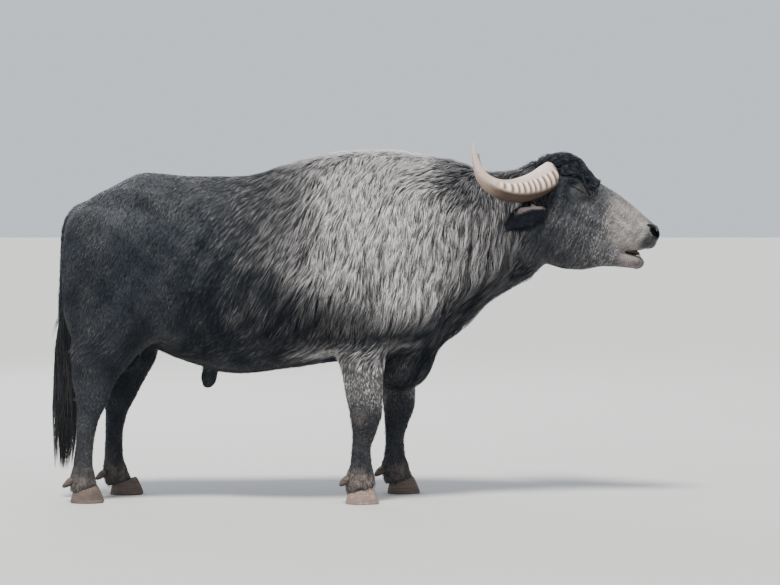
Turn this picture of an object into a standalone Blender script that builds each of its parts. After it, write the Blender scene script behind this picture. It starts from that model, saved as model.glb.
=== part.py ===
"""A life-size water buffalo bull, standing and calling with its head held level.

+X is forwards, +Y is the animal's left and +Z is up. All sizes are in metres.
The flesh is one smooth field: lofts along the trunk, the head and the legs, blended with rounded muscles.
Each part of the body is that field meshed in the part's own region, thinned out and cut flat where it meets the next.
Horns, ears, eyes, teeth and claws are separate solids, let into the flesh with a thin gap round them.
"""

import math
from collections import namedtuple

import bmesh
import bpy
import numpy as np
from mathutils import Matrix, Vector

# --- driving dimensions -------------------------------------------------------------------------

GAP = 0.0004  # left between neighbouring solids
SIDES = {"right": -1, "left": 1}
SHIFT = (0.0002, -0.0095, 0.0)  # brings the middle of the whole outline over the origin

# One row for each place where a tape would go round the trunk and neck.
Girth = namedtuple("Girth", "x top bottom half_width widest ridge keel")
TRUNK = {
    "pin_bones": Girth(-1.120, 1.205, 0.720, 0.150, 1.000, 2.0, 2.0),
    "rump": Girth(-1.020, 1.262, 0.660, 0.215, 1.000, 2.0, 2.0),
    "hips": Girth(-0.850, 1.334, 0.620, 0.268, 1.020, 1.9, 2.0),
    "loin": Girth(-0.660, 1.318, 0.550, 0.305, 0.930, 1.9, 2.1),
    "flank": Girth(-0.470, 1.318, 0.512, 0.345, 0.880, 1.9, 2.1),
    "barrel": Girth(-0.280, 1.368, 0.532, 0.368, 0.870, 1.8, 2.1),
    "girth": Girth(-0.080, 1.418, 0.560, 0.355, 0.900, 1.8, 2.1),
    "withers": Girth(0.100, 1.428, 0.570, 0.315, 0.930, 1.8, 2.0),
    "shoulder": Girth(0.260, 1.412, 0.610, 0.270, 0.970, 1.9, 2.0),
    "neck_base": Girth(0.400, 1.388, 0.690, 0.225, 1.020, 1.9, 2.0),
    "mid_neck": Girth(0.550, 1.340, 0.805, 0.190, 1.060, 2.0, 2.0),
    "nape": Girth(0.680, 1.350, 0.880, 0.160, 1.100, 2.0, 2.0),
}
TRUNK_CAPS = (0.075, 0.10)  # how far the rounded ends reach past the first and last girth

# The head's own frame: u runs from between the horns to the muzzle, v to the left, w up out of the brow.
HEAD_AT = (0.771, 0.0, 1.179)
HEAD_PITCH, HEAD_YAW, HEAD_ROLL = (math.radians(a) for a in (20.0, -4.5, -4.5))

Slice = namedtuple("Slice", "u top bottom half_width widest ridge keel")
SKULL = {
    "poll": Slice(-0.060, 0.222, -0.150, 0.098, 0.080, 2.1, 2.0),
    "crown": Slice(0.000, 0.254, -0.170, 0.113, 0.110, 2.2, 2.0),
    "brow": Slice(0.060, 0.250, -0.160, 0.122, 0.110, 2.3, 2.0),
    "eyes": Slice(0.110, 0.220, -0.150, 0.118, 0.095, 2.3, 2.0),
    "face": Slice(0.170, 0.186, -0.140, 0.100, 0.070, 2.2, 2.0),
    "bridge": Slice(0.240, 0.171, -0.125, 0.085, 0.050, 2.0, 2.0),
    "nose": Slice(0.310, 0.150, -0.100, 0.076, 0.030, 2.0, 2.2),
    "mouth_corner": Slice(0.365, 0.130, -0.055, 0.076, 0.025, 2.0, 2.3),
    "lip": Slice(0.405, 0.114, -0.030, 0.078, 0.028, 2.1, 2.3),
    "muzzle": Slice(0.440, 0.099, -0.008, 0.072, 0.036, 2.2, 2.2),
}
SKULL_CAPS = (0.08, 0.035)
JAW = {
    "angle": Slice(0.060, -0.040, -0.205, 0.080, -0.120, 2.0, 2.0),
    "cheek": Slice(0.140, -0.030, -0.200, 0.082, -0.110, 2.0, 2.0),
    "mid_jaw": Slice(0.220, -0.030, -0.180, 0.072, -0.100, 2.0, 2.0),
    "bar": Slice(0.300, -0.030, -0.136, 0.062, -0.085, 2.0, 2.0),
    "mouth_corner": Slice(0.360, -0.044, -0.116, 0.056, -0.080, 2.1, 2.0),
    "lower_lip": Slice(0.422, -0.042, -0.100, 0.048, -0.068, 2.2, 2.0),
}
JAW_CAPS = (0.06, 0.034)

# Legs: the joints' places differ from leg to leg, and the thickness at each joint does not.
Joint = namedtuple("Joint", "x y z")
Thickness = namedtuple("Thickness", "half_depth half_width")
FORELEG = {
    "upper_arm": Thickness(0.135, 0.085),
    "elbow": Thickness(0.110, 0.075),
    "forearm": Thickness(0.087, 0.064),
    "low_forearm": Thickness(0.078, 0.058),
    "knee": Thickness(0.068, 0.060),
    "below_knee": Thickness(0.053, 0.048),
    "cannon": Thickness(0.042, 0.040),
    "low_cannon": Thickness(0.047, 0.046),
    "fetlock": Thickness(0.059, 0.056),
    "pastern": Thickness(0.062, 0.060),
}
HINDLEG = {
    "thigh": Thickness(0.190, 0.110),
    "buttock": Thickness(0.195, 0.105),
    "stifle": Thickness(0.172, 0.092),
    "gaskin": Thickness(0.120, 0.072),
    "above_hock": Thickness(0.088, 0.055),
    "hock": Thickness(0.068, 0.050),
    "below_hock": Thickness(0.048, 0.042),
    "cannon": Thickness(0.040, 0.038),
    "low_cannon": Thickness(0.042, 0.042),
    "fetlock": Thickness(0.052, 0.052),
    "pastern": Thickness(0.056, 0.058),
}
LEG_CAPS = (0.035, 0.10)
LEGS = {
    "foreleg_right": (
        FORELEG,
        {
            "upper_arm": Joint(0.060, -0.235, 0.780),
            "elbow": Joint(0.020, -0.225, 0.660),
            "forearm": Joint(0.028, -0.212, 0.534),
            "low_forearm": Joint(0.034, -0.205, 0.440),
            "knee": Joint(0.041, -0.200, 0.360),
            "below_knee": Joint(0.036, -0.200, 0.290),
            "cannon": Joint(0.023, -0.200, 0.220),
            "low_cannon": Joint(0.022, -0.200, 0.160),
            "fetlock": Joint(0.019, -0.200, 0.110),
            "pastern": Joint(0.022, -0.208, 0.060),
        },
    ),
    "foreleg_left": (
        FORELEG,
        {
            "upper_arm": Joint(0.110, 0.235, 0.780),
            "elbow": Joint(0.120, 0.225, 0.660),
            "forearm": Joint(0.158, 0.212, 0.534),
            "low_forearm": Joint(0.170, 0.205, 0.440),
            "knee": Joint(0.176, 0.200, 0.360),
            "below_knee": Joint(0.166, 0.200, 0.290),
            "cannon": Joint(0.158, 0.200, 0.220),
            "low_cannon": Joint(0.158, 0.200, 0.160),
            "fetlock": Joint(0.160, 0.200, 0.110),
            "pastern": Joint(0.174, 0.200, 0.060),
        },
    ),
    "hindleg_right": (
        HINDLEG,
        {
            "thigh": Joint(-0.985, -0.150, 0.980),
            "buttock": Joint(-0.990, -0.170, 0.800),
            "stifle": Joint(-0.985, -0.180, 0.680),
            "gaskin": Joint(-1.030, -0.175, 0.560),
            "above_hock": Joint(-1.060, -0.165, 0.480),
            "hock": Joint(-1.066, -0.160, 0.410),
            "below_hock": Joint(-1.085, -0.160, 0.330),
            "cannon": Joint(-1.097, -0.160, 0.240),
            "low_cannon": Joint(-1.104, -0.160, 0.160),
            "fetlock": Joint(-1.106, -0.162, 0.100),
            "pastern": Joint(-1.100, -0.168, 0.055),
        },
    ),
    "hindleg_left": (
        HINDLEG,
        {
            "thigh": Joint(-0.985, 0.150, 0.980),
            "buttock": Joint(-0.980, 0.170, 0.800),
            "stifle": Joint(-0.960, 0.180, 0.680),
            "gaskin": Joint(-0.945, 0.175, 0.560),
            "above_hock": Joint(-0.962, 0.165, 0.470),
            "hock": Joint(-0.978, 0.160, 0.400),
            "below_hock": Joint(-0.993, 0.160, 0.330),
            "cannon": Joint(-1.003, 0.160, 0.240),
            "low_cannon": Joint(-1.004, 0.160, 0.160),
            "fetlock": Joint(-0.998, 0.160, 0.100),
            "pastern": Joint(-0.985, 0.160, 0.055),
        },
    ),
}

# Rounded masses that stand out of the lofts: centre, radii, lean in the side view, blend.
Mass = namedtuple("Mass", "centre radii lean blend")
PAIRED_MASSES = {
    "shoulder_point": Mass((0.225, 0.150, 0.790), (0.125, 0.110, 0.140), 0.0, 0.10),
    "upper_arm": Mass((0.030, 0.215, 0.830), (0.130, 0.095, 0.170), -14.0, 0.10),
    "haunch": Mass((-0.985, 0.130, 1.000), (0.175, 0.110, 0.250), 0.0, 0.10),
    "stifle": Mass((-0.865, 0.185, 0.800), (0.085, 0.085, 0.125), -20.0, 0.10),
}
MIDLINE_MASSES = {
    "brisket": Mass((0.180, 0.0, 0.620), (0.150, 0.125, 0.185), 0.0, 0.08),
    "dewlap": Mass((0.360, 0.0, 0.760), (0.200, 0.075, 0.100), -42.0, 0.06),
    "sheath": Mass((-0.600, 0.0, 0.500), (0.032, 0.026, 0.050), 8.0, 0.03),
    "scrotum": Mass((-0.930, 0.0, 0.610), (0.060, 0.055, 0.085), 0.0, 0.04),
}
HEAD_MASSES = {
    "cheek": Mass((0.110, 0.062, -0.060), (0.115, 0.048, 0.115), 0.0, 0.05),
    "nostril_wing": Mass((0.438, 0.046, 0.062), (0.034, 0.028, 0.032), 0.0, 0.03),
}

# Soft swells and hollows, on both sides or on the midline: centre, radii, lean in the side view, height out of the surface.
Swell = namedtuple("Swell", "centre radii lean height")
SWELLS = {
    "hip_bone": Swell((-0.835, 0.235, 1.240), (0.070, 0.080, 0.045), 15.0, 0.022),
    "pin_bone": Swell((-1.130, 0.130, 1.110), (0.060, 0.060, 0.060), 0.0, 0.018),
    "rump_hollow": Swell((-0.980, 0.215, 1.190), (0.110, 0.100, 0.045), 12.0, -0.016),
    "flank_hollow": Swell((-0.690, 0.290, 1.150), (0.100, 0.120, 0.090), 0.0, -0.024),
    "flank_fold": Swell((-0.770, 0.260, 0.740), (0.050, 0.120, 0.160), -35.0, 0.020),
    "hamstring_groove": Swell((-1.075, 0.230, 0.850), (0.028, 0.120, 0.170), 8.0, -0.014),
    "blade_ridge": Swell((0.150, 0.260, 1.120), (0.070, 0.150, 0.220), 10.0, 0.014),
    "behind_blade": Swell((-0.050, 0.330, 1.060), (0.090, 0.160, 0.240), 8.0, -0.014),
    "triceps": Swell((-0.010, 0.310, 0.830), (0.080, 0.120, 0.100), 0.0, 0.016),
    "elbow_fold": Swell((-0.120, 0.290, 0.700), (0.055, 0.120, 0.110), 10.0, -0.018),
    "arm_groove": Swell((0.125, 0.300, 0.780), (0.030, 0.120, 0.110), -25.0, -0.014),
    "neck_muscle": Swell((0.430, 0.230, 1.180), (0.170, 0.140, 0.070), 0.0, 0.016),
    "throat_groove": Swell((0.420, 0.200, 0.960), (0.150, 0.130, 0.045), -38.0, -0.018),
    "barrel_side": Swell((-0.330, 0.340, 0.840), (0.230, 0.150, 0.170), 0.0, 0.014),
}
MIDLINE_SWELLS = {
    "tail_cleft": Swell((-1.190, 0.0, 0.830), (0.110, 0.055, 0.220), 0.0, -0.055),
    "chest_cleft": Swell((0.330, 0.0, 0.640), (0.060, 0.022, 0.100), -40.0, -0.010),
}
HEAD_SWELLS = {
    "brow_ridge": Swell((0.088, 0.115, 0.156), (0.042, 0.034, 0.018), 10.0, 0.013),
    "eye_socket": Swell((0.097, 0.125, 0.118), (0.040, 0.034, 0.026), 10.0, -0.009),
    "tear_hollow": Swell((0.165, 0.100, 0.095), (0.055, 0.040, 0.028), 15.0, -0.009),
    "cheek_ridge": Swell((0.185, 0.090, 0.030), (0.085, 0.040, 0.014), 8.0, 0.007),
    "cheek_groove": Swell((0.250, 0.085, -0.030), (0.060, 0.040, 0.050), 20.0, -0.005),
    "jaw_muscle": Swell((0.085, 0.105, -0.085), (0.060, 0.050, 0.070), 0.0, 0.010),
    "poll_groove": Swell((-0.040, 0.110, 0.020), (0.030, 0.050, 0.090), 8.0, -0.012),
    "nostril": Swell((0.452, 0.052, 0.066), (0.014, 0.022, 0.011), -25.0, -0.020),
    "lip_fold": Swell((0.395, 0.078, 0.030), (0.012, 0.030, 0.050), 25.0, -0.005),
}


# Swept pieces. A station is a point on the middle line with the half sizes of the oval there.
Station = namedtuple("Station", "x y z half_wide half_thick")
HORN = (  # in the head's frame, for the left horn; wide is up and down, thick is front to back
    Station(-0.030, 0.060, 0.128, 0.062, 0.048),
    Station(-0.040, 0.105, 0.108, 0.062, 0.048),
    Station(-0.068, 0.165, 0.068, 0.058, 0.045),
    Station(-0.114, 0.238, 0.030, 0.051, 0.040),
    Station(-0.157, 0.292, 0.010, 0.043, 0.035),
    Station(-0.201, 0.328, 0.004, 0.036, 0.030),
    Station(-0.246, 0.350, 0.012, 0.029, 0.025),
    Station(-0.284, 0.360, 0.034, 0.022, 0.019),
    Station(-0.318, 0.355, 0.074, 0.014, 0.013),
    Station(-0.341, 0.343, 0.112, 0.009, 0.008),
    Station(-0.352, 0.330, 0.142, 0.003, 0.003),
)
HORN_TRIANGLE = 0.10  # how far its section leans from an oval towards a triangle
EAR = (  # in the head's frame, for the left ear
    Station(0.012, 0.085, -0.006, 0.018, 0.014),
    Station(0.006, 0.120, -0.014, 0.026, 0.016),
    Station(-0.016, 0.150, -0.028, 0.040, 0.013),
    Station(-0.048, 0.178, -0.050, 0.050, 0.010),
    Station(-0.080, 0.202, -0.078, 0.043, 0.008),
    Station(-0.105, 0.222, -0.108, 0.024, 0.006),
    Station(-0.120, 0.235, -0.132, 0.006, 0.004),
)
TAIL = (
    Station(-1.070, 0.0, 1.190, 0.030, 0.026),
    Station(-1.125, 0.0, 1.178, 0.032, 0.028),
    Station(-1.168, 0.0, 1.130, 0.031, 0.027),
    Station(-1.183, -0.004, 1.050, 0.028, 0.024),
    Station(-1.190, -0.008, 0.940, 0.024, 0.021),
    Station(-1.196, -0.012, 0.820, 0.021, 0.019),
    Station(-1.199, -0.016, 0.700, 0.019, 0.018),
    Station(-1.198, -0.020, 0.605, 0.018, 0.017),
)
SWITCH = (
    Station(-1.199, -0.017, 0.670, 0.023, 0.022),
    Station(-1.196, -0.021, 0.570, 0.034, 0.028),
    Station(-1.190, -0.024, 0.450, 0.046, 0.034),
    Station(-1.189, -0.024, 0.350, 0.051, 0.037),
    Station(-1.190, -0.024, 0.260, 0.042, 0.032),
    Station(-1.192, -0.022, 0.190, 0.025, 0.022),
    Station(-1.196, -0.020, 0.120, 0.006, 0.006),
)
EYE_AT, EYE_RADIUS = (0.097, 0.095, 0.119), 0.022  # in the head's frame, for the left eye
TOOTH_ARC = (0.400, 0.030, -0.048)  # in the head's frame: the arc's centre forwards, its radius, its height
TOOTH_SIZE, TEETH = (0.007, 0.0078, 0.026), 6

# Feet. Each has two claws, whose tops lie in one sloping plane, and two dewclaws behind.
Foot = namedtuple("Foot", "leg x y")
FEET = (
    Foot("foreleg_right", 0.028, -0.210),
    Foot("foreleg_left", 0.196, 0.202),
    Foot("hindleg_right", -1.086, -0.170),
    Foot("hindleg_left", -0.950, 0.162),
)
CLAW_LENGTH, CLAW_WIDTH, CLAW_SPREAD = 0.136, 0.060, 0.005  # at the sole; spread is half the cleft between two
CLAW_FRONT, CLAW_BACK = 0.078, 0.040  # height of the claw's top edge at the toe and at the heel
CLAW_SHRINK, CLAW_LEAN = 0.80, 0.010  # how much smaller the top is, and how far it sits back
DEWCLAW_LENGTH, DEWCLAW_RADIUS = 0.052, 0.014
DEWCLAW_SPREAD, DEWCLAW_DROP, DEWCLAW_ROOT = 0.027, 0.006, 0.72  # beside and under the fetlock; share of its depth

# Cuts between the pieces of flesh: a point in the plane, and how far it leans back from upright.
NECK_FROM_TRUNK = ((0.335, 0.0, 1.050), 9.0)
HEAD_FROM_NECK = ((-0.052, 0.0, 0.000), 16.0)  # in the head's frame
LEG_TOPS = {  # x range, nearest y, top, lean of each leg's box
    "foreleg_right": (-0.130, 0.200, 0.115, 0.650),
    "foreleg_left": (-0.060, 0.300, 0.115, 0.650),
    "hindleg_right": (-1.320, -0.800, 0.062, 0.700),
    "hindleg_left": (-1.320, -0.760, 0.062, 0.700),
}


# --- the field ----------------------------------------------------------------------------------


def smooth_curve(at, knots, values):
    """A monotone cubic through the knots, constant past both ends."""
    knots, values = np.asarray(knots, float), np.asarray(values, float)
    span = np.diff(knots)
    slope = np.diff(values) / span
    tangent = np.zeros(len(knots))
    same_way = slope[:-1] * slope[1:] > 0
    total = np.where(same_way, slope[:-1] + slope[1:], 1.0)
    tangent[1:-1] = np.where(same_way, 2 * slope[:-1] * slope[1:] / total, 0.0)
    tangent[0], tangent[-1] = slope[0], slope[-1]
    i = np.clip(np.searchsorted(knots, at) - 1, 0, len(span) - 1)
    t = np.clip((at - knots[i]) / span[i], 0.0, 1.0)
    rise = (1 + 2 * t) * (1 - t) ** 2 * values[i] + t * t * (3 - 2 * t) * values[i + 1]
    return rise + span[i] * (t * (1 - t) ** 2 * tangent[i] - t * t * (1 - t) * tangent[i + 1])


def union(a, b, blend):
    """The smooth minimum of two fields, with a fillet about blend wide."""
    share = np.clip(0.5 + 0.5 * (b - a) / blend, 0.0, 1.0)
    return b + (a - b) * share - blend * share * (1 - share)


def section(across, up, half_width, half_height, power):
    """The distance from an oval whose power is 2 for an ellipse and more for a boxy one."""
    a, b = np.abs(across) / half_width + 1e-4, np.abs(up) / half_height + 1e-4
    size = (a**power + b**power) ** (1 / power)
    slope = size ** (1 - power) * np.hypot(a ** (power - 1) / half_width, b ** (power - 1) / half_height)
    return size, slope


def loft(along, across, up, rows, caps):
    """A body whose ovals change along it: rows give each oval's place, top, bottom, half width and shape."""
    knots = [row[0] for row in rows]
    top, bottom, half_width, widest, ridge, keel = (
        smooth_curve(along, knots, [row[k] for row in rows]) for k in range(1, 7)
    )
    above = up > widest
    half_height = np.where(above, top - widest, widest - bottom)
    power = np.where(above, ridge, keel)
    size, slope = section(across, up - widest, half_width, half_height, power)
    past = np.maximum(knots[0] - along, 0) / caps[0] + np.maximum(along - knots[-1], 0) / caps[1]
    return (np.hypot(size, past) - 1) / slope


def leg(points, thickness, joints, caps):
    """A leg as a loft down its joints, with level ovals."""
    x, y, z = points.T
    names = sorted(joints, key=lambda name: joints[name].z)
    knots = [joints[name].z for name in names]
    middle_x, middle_y = (smooth_curve(z, knots, [joints[name][k] for name in names]) for k in (0, 1))
    depth, width = (smooth_curve(z, knots, [thickness[name][k] for name in names]) for k in (0, 1))
    size, slope = section(y - middle_y, x - middle_x, width, depth, 2.0)
    past = np.maximum(knots[0] - z, 0) / caps[0] + np.maximum(z - knots[-1], 0) / caps[1]
    return (np.hypot(size, past) - 1) / slope


def scaled_offset(points, shape, side):
    """How far the points are from a mass or a swell, in units of its radii. side is 0 on the midline."""
    lean = math.radians(shape.lean)
    x, y, z = (points - np.array(shape.centre) * (1, side or 1, 1)).T
    x, z = x * math.cos(lean) - z * math.sin(lean), x * math.sin(lean) + z * math.cos(lean)
    return np.stack((x, y, z), 1) / np.array(shape.radii)


def ellipsoid(points, mass, side=0):
    """The distance from a mass, as an ellipsoid."""
    scaled = scaled_offset(points, mass, side)
    size = np.linalg.norm(scaled, axis=1) + 1e-6
    return size * (size - 1) / (np.linalg.norm(scaled / np.array(mass.radii), axis=1) + 1e-6)


def with_relief(field, points, masses, swells, sides):
    """The field with masses joined on and swells raised out of it, on these sides."""
    for side in sides:
        for mass in masses.values():
            field = union(field, ellipsoid(points, mass, side), mass.blend)
        for swell in swells.values():
            away = (scaled_offset(points, swell, side) ** 2).sum(axis=1)
            field = field - swell.height * np.exp(-away)
    return field


def head_frame():
    """The matrix from the head's frame to the world."""
    turn = (
        Matrix.Rotation(HEAD_YAW, 4, "Z") @ Matrix.Rotation(HEAD_PITCH, 4, "Y") @ Matrix.Rotation(HEAD_ROLL, 4, "X")
    )
    return Matrix.Translation(HEAD_AT) @ turn


def in_head(points):
    """World points in the head's own frame."""
    inverse = np.array(head_frame().inverted())
    return points @ inverse[:3, :3].T + inverse[:3, 3]


def head_field(points):
    """The skull and face with the jaw, in the head's frame."""
    u, v, w = points.T
    skull = loft(u, v, w, list(SKULL.values()), SKULL_CAPS)
    jaw = loft(u, v, w, list(JAW.values()), JAW_CAPS)
    return with_relief(union(skull, jaw, 0.03), points, HEAD_MASSES, HEAD_SWELLS, SIDES.values())


def body_field(points):
    """The whole flesh: negative inside, and about the distance in metres near the surface."""
    x, y, z = points.T
    field = loft(x, y, z, list(TRUNK.values()), TRUNK_CAPS)
    for thickness, joints in LEGS.values():
        field = union(field, leg(points, thickness, joints, LEG_CAPS), 0.07)
    field = with_relief(field, points, PAIRED_MASSES, SWELLS, SIDES.values())
    field = with_relief(field, points, MIDLINE_MASSES, MIDLINE_SWELLS, (0,))
    return union(field, head_field(in_head(points)), 0.07)


# --- from field to mesh -------------------------------------------------------------------------


def sample(field, low, high, step):
    """The field on a lattice. Blocks that a coarse look finds far from the surface keep their coarse value."""
    block = 4
    size = (np.ceil((np.array(high) - low) / step / block).astype(int) + 1) * block
    corner = np.indices(size // block).reshape(3, -1).T * block * step + np.array(low)
    coarse = field(corner + (block - 1) * step / 2)
    values = np.repeat(coarse[:, None], block**3, axis=1)
    near = np.abs(coarse) < 1.5 * block * step
    within = np.indices((block,) * 3).reshape(3, -1).T * step
    fine = (corner[near][:, None] + within).reshape(-1, 3)
    values[near] = field(fine).reshape(-1, block**3)
    values = values.reshape(*(size // block), block, block, block)
    values = values.transpose(0, 3, 1, 4, 2, 5).reshape(size)
    outer = np.pad(np.zeros(size - 2, bool), 1, constant_values=True)
    return np.where(outer, step, values)


def surface_net(values, low, step):
    """(vertices, quads) of the surface where the sampled field is zero: one vertex in each cell it crosses."""
    inside = values < 0
    cells = np.array(values.shape) - 1
    corners, places = [], []
    for axis in range(3):
        ahead = np.take(values, range(1, values.shape[axis]), axis)
        behind = np.take(values, range(cells[axis]), axis)
        edges = np.argwhere((ahead < 0) != (behind < 0))
        a, b = behind[tuple(edges.T)], ahead[tuple(edges.T)]
        point = edges.astype(float)
        point[:, axis] += a / (a - b)
        first, second = (np.eye(3, dtype=int)[(axis + k) % 3] for k in (1, 2))
        around = np.array((0 * first, -first, -first - second, -second))
        around = edges[:, None] + np.where((a < 0)[:, None, None], around[None], around[None, ::-1])
        corners.append(np.ravel_multi_index(tuple(np.moveaxis(around, 2, 0)), cells))
        places.append(np.repeat(point[:, None], 4, axis=1))
    corners, places = np.concatenate(corners), np.concatenate(places)
    _, index = np.unique(corners, return_inverse=True)
    index = index.reshape(-1)
    count = np.bincount(index)
    middle = [np.bincount(index, places[..., k].reshape(-1)) / count for k in range(3)]
    return np.stack(middle, 1) * step + np.array(low), index.reshape(-1, 4)


# --- pieces -------------------------------------------------------------------------------------


def material(name, colour, roughness):
    """A plain Principled finish."""
    made = bpy.data.materials.new(name)
    made.use_nodes = True
    shader = made.node_tree.nodes["Principled BSDF"]
    shader.inputs["Base Color"].default_value = (*colour, 1.0)
    shader.inputs["Roughness"].default_value = roughness
    return made


class Model:
    """The collections that pieces and cutters go in, and the finishes they share."""

    def __init__(self):
        for old in list(bpy.data.objects):
            bpy.data.objects.remove(old)
        self.parts, self.cutters = (bpy.data.collections.new(name) for name in ("water_buffalo", "cutters"))
        for collection in (self.parts, self.cutters):
            bpy.context.scene.collection.children.link(collection)
        self.root = bpy.data.objects.new("buffalo_origin", None)
        self.root.location = SHIFT
        self.parts.objects.link(self.root)
        self.finishes = {
            "coat": material("coat", (0.030, 0.026, 0.024), 0.65),
            "switch_hair": material("switch_hair", (0.020, 0.015, 0.012), 0.7),
            "horn": material("horn", (0.42, 0.31, 0.23), 0.5),
            "eye": material("eye", (0.012, 0.008, 0.006), 0.08),
            "hoof": material("hoof", (0.11, 0.085, 0.07), 0.5),
        }

    def piece(self, name, mesh, finish):
        """A mesh as a named part of the animal."""
        made = bpy.data.objects.new(name, mesh)
        mesh.materials.clear()
        mesh.materials.append(self.finishes[finish])
        made.parent = self.root
        self.parts.objects.link(made)
        return made

    def cutter(self, name, mesh):
        """A mesh as a cutter, drawn as wire and left out of renders."""
        made = bpy.data.objects.new(name, mesh)
        made.parent = self.root
        made.hide_render = True
        made.display_type = "WIRE"
        self.cutters.objects.link(made)
        return made


def cut(piece, cutter, operation="DIFFERENCE"):
    """A Boolean of the piece with the cutter."""
    modifier = piece.modifiers.new(cutter.name, "BOOLEAN")
    modifier.operation = operation
    modifier.object = cutter
    modifier.solver = "EXACT"


def mesh_of(name, build):
    """A mesh filled by a function that takes a bmesh."""
    shape = bmesh.new()
    build(shape)
    bmesh.ops.recalc_face_normals(shape, faces=shape.faces)
    mesh = bpy.data.meshes.new(name)
    shape.to_mesh(mesh)
    shape.free()
    return mesh


def box(name, low, high, lean=0.0, about=(0.0, 0.0, 0.0)):
    """A box between two corners, leant back by some degrees about a point."""

    def build(shape):
        middle = [(a + b) / 2 for a, b in zip(low, high)]
        size = Matrix.Diagonal([b - a for a, b in zip(low, high)]).to_4x4()
        turn = Matrix.Translation(about) @ Matrix.Rotation(math.radians(lean), 4, "Y")
        place = turn @ Matrix.Translation([m - a for m, a in zip(middle, about)])
        bmesh.ops.create_cube(shape, size=1.0, matrix=place @ size)

    return mesh_of(name, build)


def rings_mesh(name, rings):
    """A closed surface through rings of as many points each, with flat ends."""

    def build(shape):
        rows = [[shape.verts.new(point) for point in ring] for ring in rings]
        for row, following in zip(rows, rows[1:]):
            for k in range(len(row)):
                shape.faces.new((row[k - 1], row[k], following[k]))
                shape.faces.new((row[k - 1], following[k], following[k - 1]))
        for end in (rows[0], rows[-1]):
            shape.faces.new(end)

    mesh = mesh_of(name, build)
    mesh.shade_smooth()
    mesh.set_sharp_from_angle(angle=math.radians(40))
    return mesh


def smooth_stations(stations, count):
    """More stations along the same line, on a Catmull-Rom curve through them, evenly spaced."""
    given = np.array(stations, float)
    ends = 2 * given[[0, -1]] - given[[1, -2]]
    padded = np.vstack((ends[:1], given, ends[1:]))
    at = np.linspace(0, len(given) - 1, 12 * len(given))
    i = np.minimum(at.astype(int), len(given) - 2)
    t = (at - i)[:, None]
    a, b, c, d = (padded[i + k] for k in range(4))
    line = 0.5 * (2 * b + (c - a) * t + (2 * a - 5 * b + 4 * c - d) * t**2 + (3 * b - a - 3 * c + d) * t**3)
    walked = np.concatenate(([0], np.cumsum(np.linalg.norm(np.diff(line[:, :3], axis=0), axis=1))))
    even = np.linspace(0, walked[-1], count)
    return np.stack([np.interp(even, walked, column) for column in line.T], axis=1)


def sweep(stations, count, sides, up, side=1, grow=0.0, triangle=0.0):
    """Rings of an oval swept along stations. up is the way its wide axis points."""
    line = smooth_stations(stations, count)
    middle, wide, thick = line[:, :3] * (1, side, 1), line[:, 3] + grow, line[:, 4] + grow
    along = np.gradient(middle, axis=0)
    along /= np.linalg.norm(along, axis=1)[:, None]
    middle[0] -= grow * along[0]
    middle[-1] += grow * along[-1]
    across = np.cross(along, np.array(up, float))
    across /= np.linalg.norm(across, axis=1)[:, None]
    upward = np.cross(across, along)
    angle = np.linspace(0, 2 * math.pi, sides, endpoint=False)
    lean = 1 + triangle * np.cos(3 * angle)
    a, b = (np.cos(angle) * lean)[None, :, None], (np.sin(angle) * lean)[None, :, None]
    return middle[:, None] + a * wide[:, None, None] * upward[:, None] + b * thick[:, None, None] * across[:, None]


def to_world(rings):
    """Rings in the head's frame, in the world."""
    matrix = np.array(head_frame())
    return rings @ matrix[:3, :3].T + matrix[:3, 3]


def flesh_mesh(name, low, high, step, faces):
    """The flesh between two corners as a mesh of about this many triangles."""
    points, quads = surface_net(sample(body_field, low, high, step), low, step)
    fine = bpy.data.meshes.new(name + "_fine")
    fine.from_pydata(points, [], quads.tolist())
    carrier = bpy.data.objects.new(name + "_fine", fine)
    bpy.context.scene.collection.objects.link(carrier)
    thin = carrier.modifiers.new("thin_out", "DECIMATE")
    thin.ratio = faces / (2 * len(quads))
    depsgraph = bpy.context.evaluated_depsgraph_get()
    mesh = bpy.data.meshes.new_from_object(carrier.evaluated_get(depsgraph))
    bpy.data.objects.remove(carrier)
    mesh.name = name
    mesh.shade_smooth()
    return mesh


def half_space(name, plane, gap, turn=None):
    """A big box behind a plane that leans back, set off from it by gap."""
    point, lean = plane
    reach = 1.6
    low = (point[0] - 2 * reach, -reach, point[2] - reach)
    high = (point[0] + gap, reach, point[2] + reach)
    mesh = box(name, low, high, -lean, point)
    if turn is not None:
        mesh.transform(turn)
    return mesh


def claw_rings(foot, side):
    """One claw: D-shaped levels from the flat sole to the sloping top, narrower and further back as they rise."""
    angle = np.linspace(0, 2 * math.pi, 12, endpoint=False)
    along, across = np.cos(angle), np.sin(angle)
    pointed = along * (1 - 0.10 * np.abs(across))
    outward = np.where(across > 0, 1.0, 0.42) * across * (1 - 0.22 * np.maximum(along, 0) ** 2)
    rings = []
    for level in (0.0, 0.15, 1.0):
        shrink = 1 - (1 - CLAW_SHRINK) * level - (0.03 if level == 0 else 0)
        x = foot.x - CLAW_LEAN * level + pointed * CLAW_LENGTH / 2 * shrink
        inner = CLAW_SPREAD + 0.42 * CLAW_WIDTH / 1.42
        y = foot.y + side * (inner + outward * CLAW_WIDTH / 1.42 * shrink)
        top = CLAW_BACK + (CLAW_FRONT - CLAW_BACK) * ((x - foot.x) / CLAW_LENGTH + 0.5)
        rings.append(np.stack((x, y, level * top), 1))
    return np.array(rings)


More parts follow.
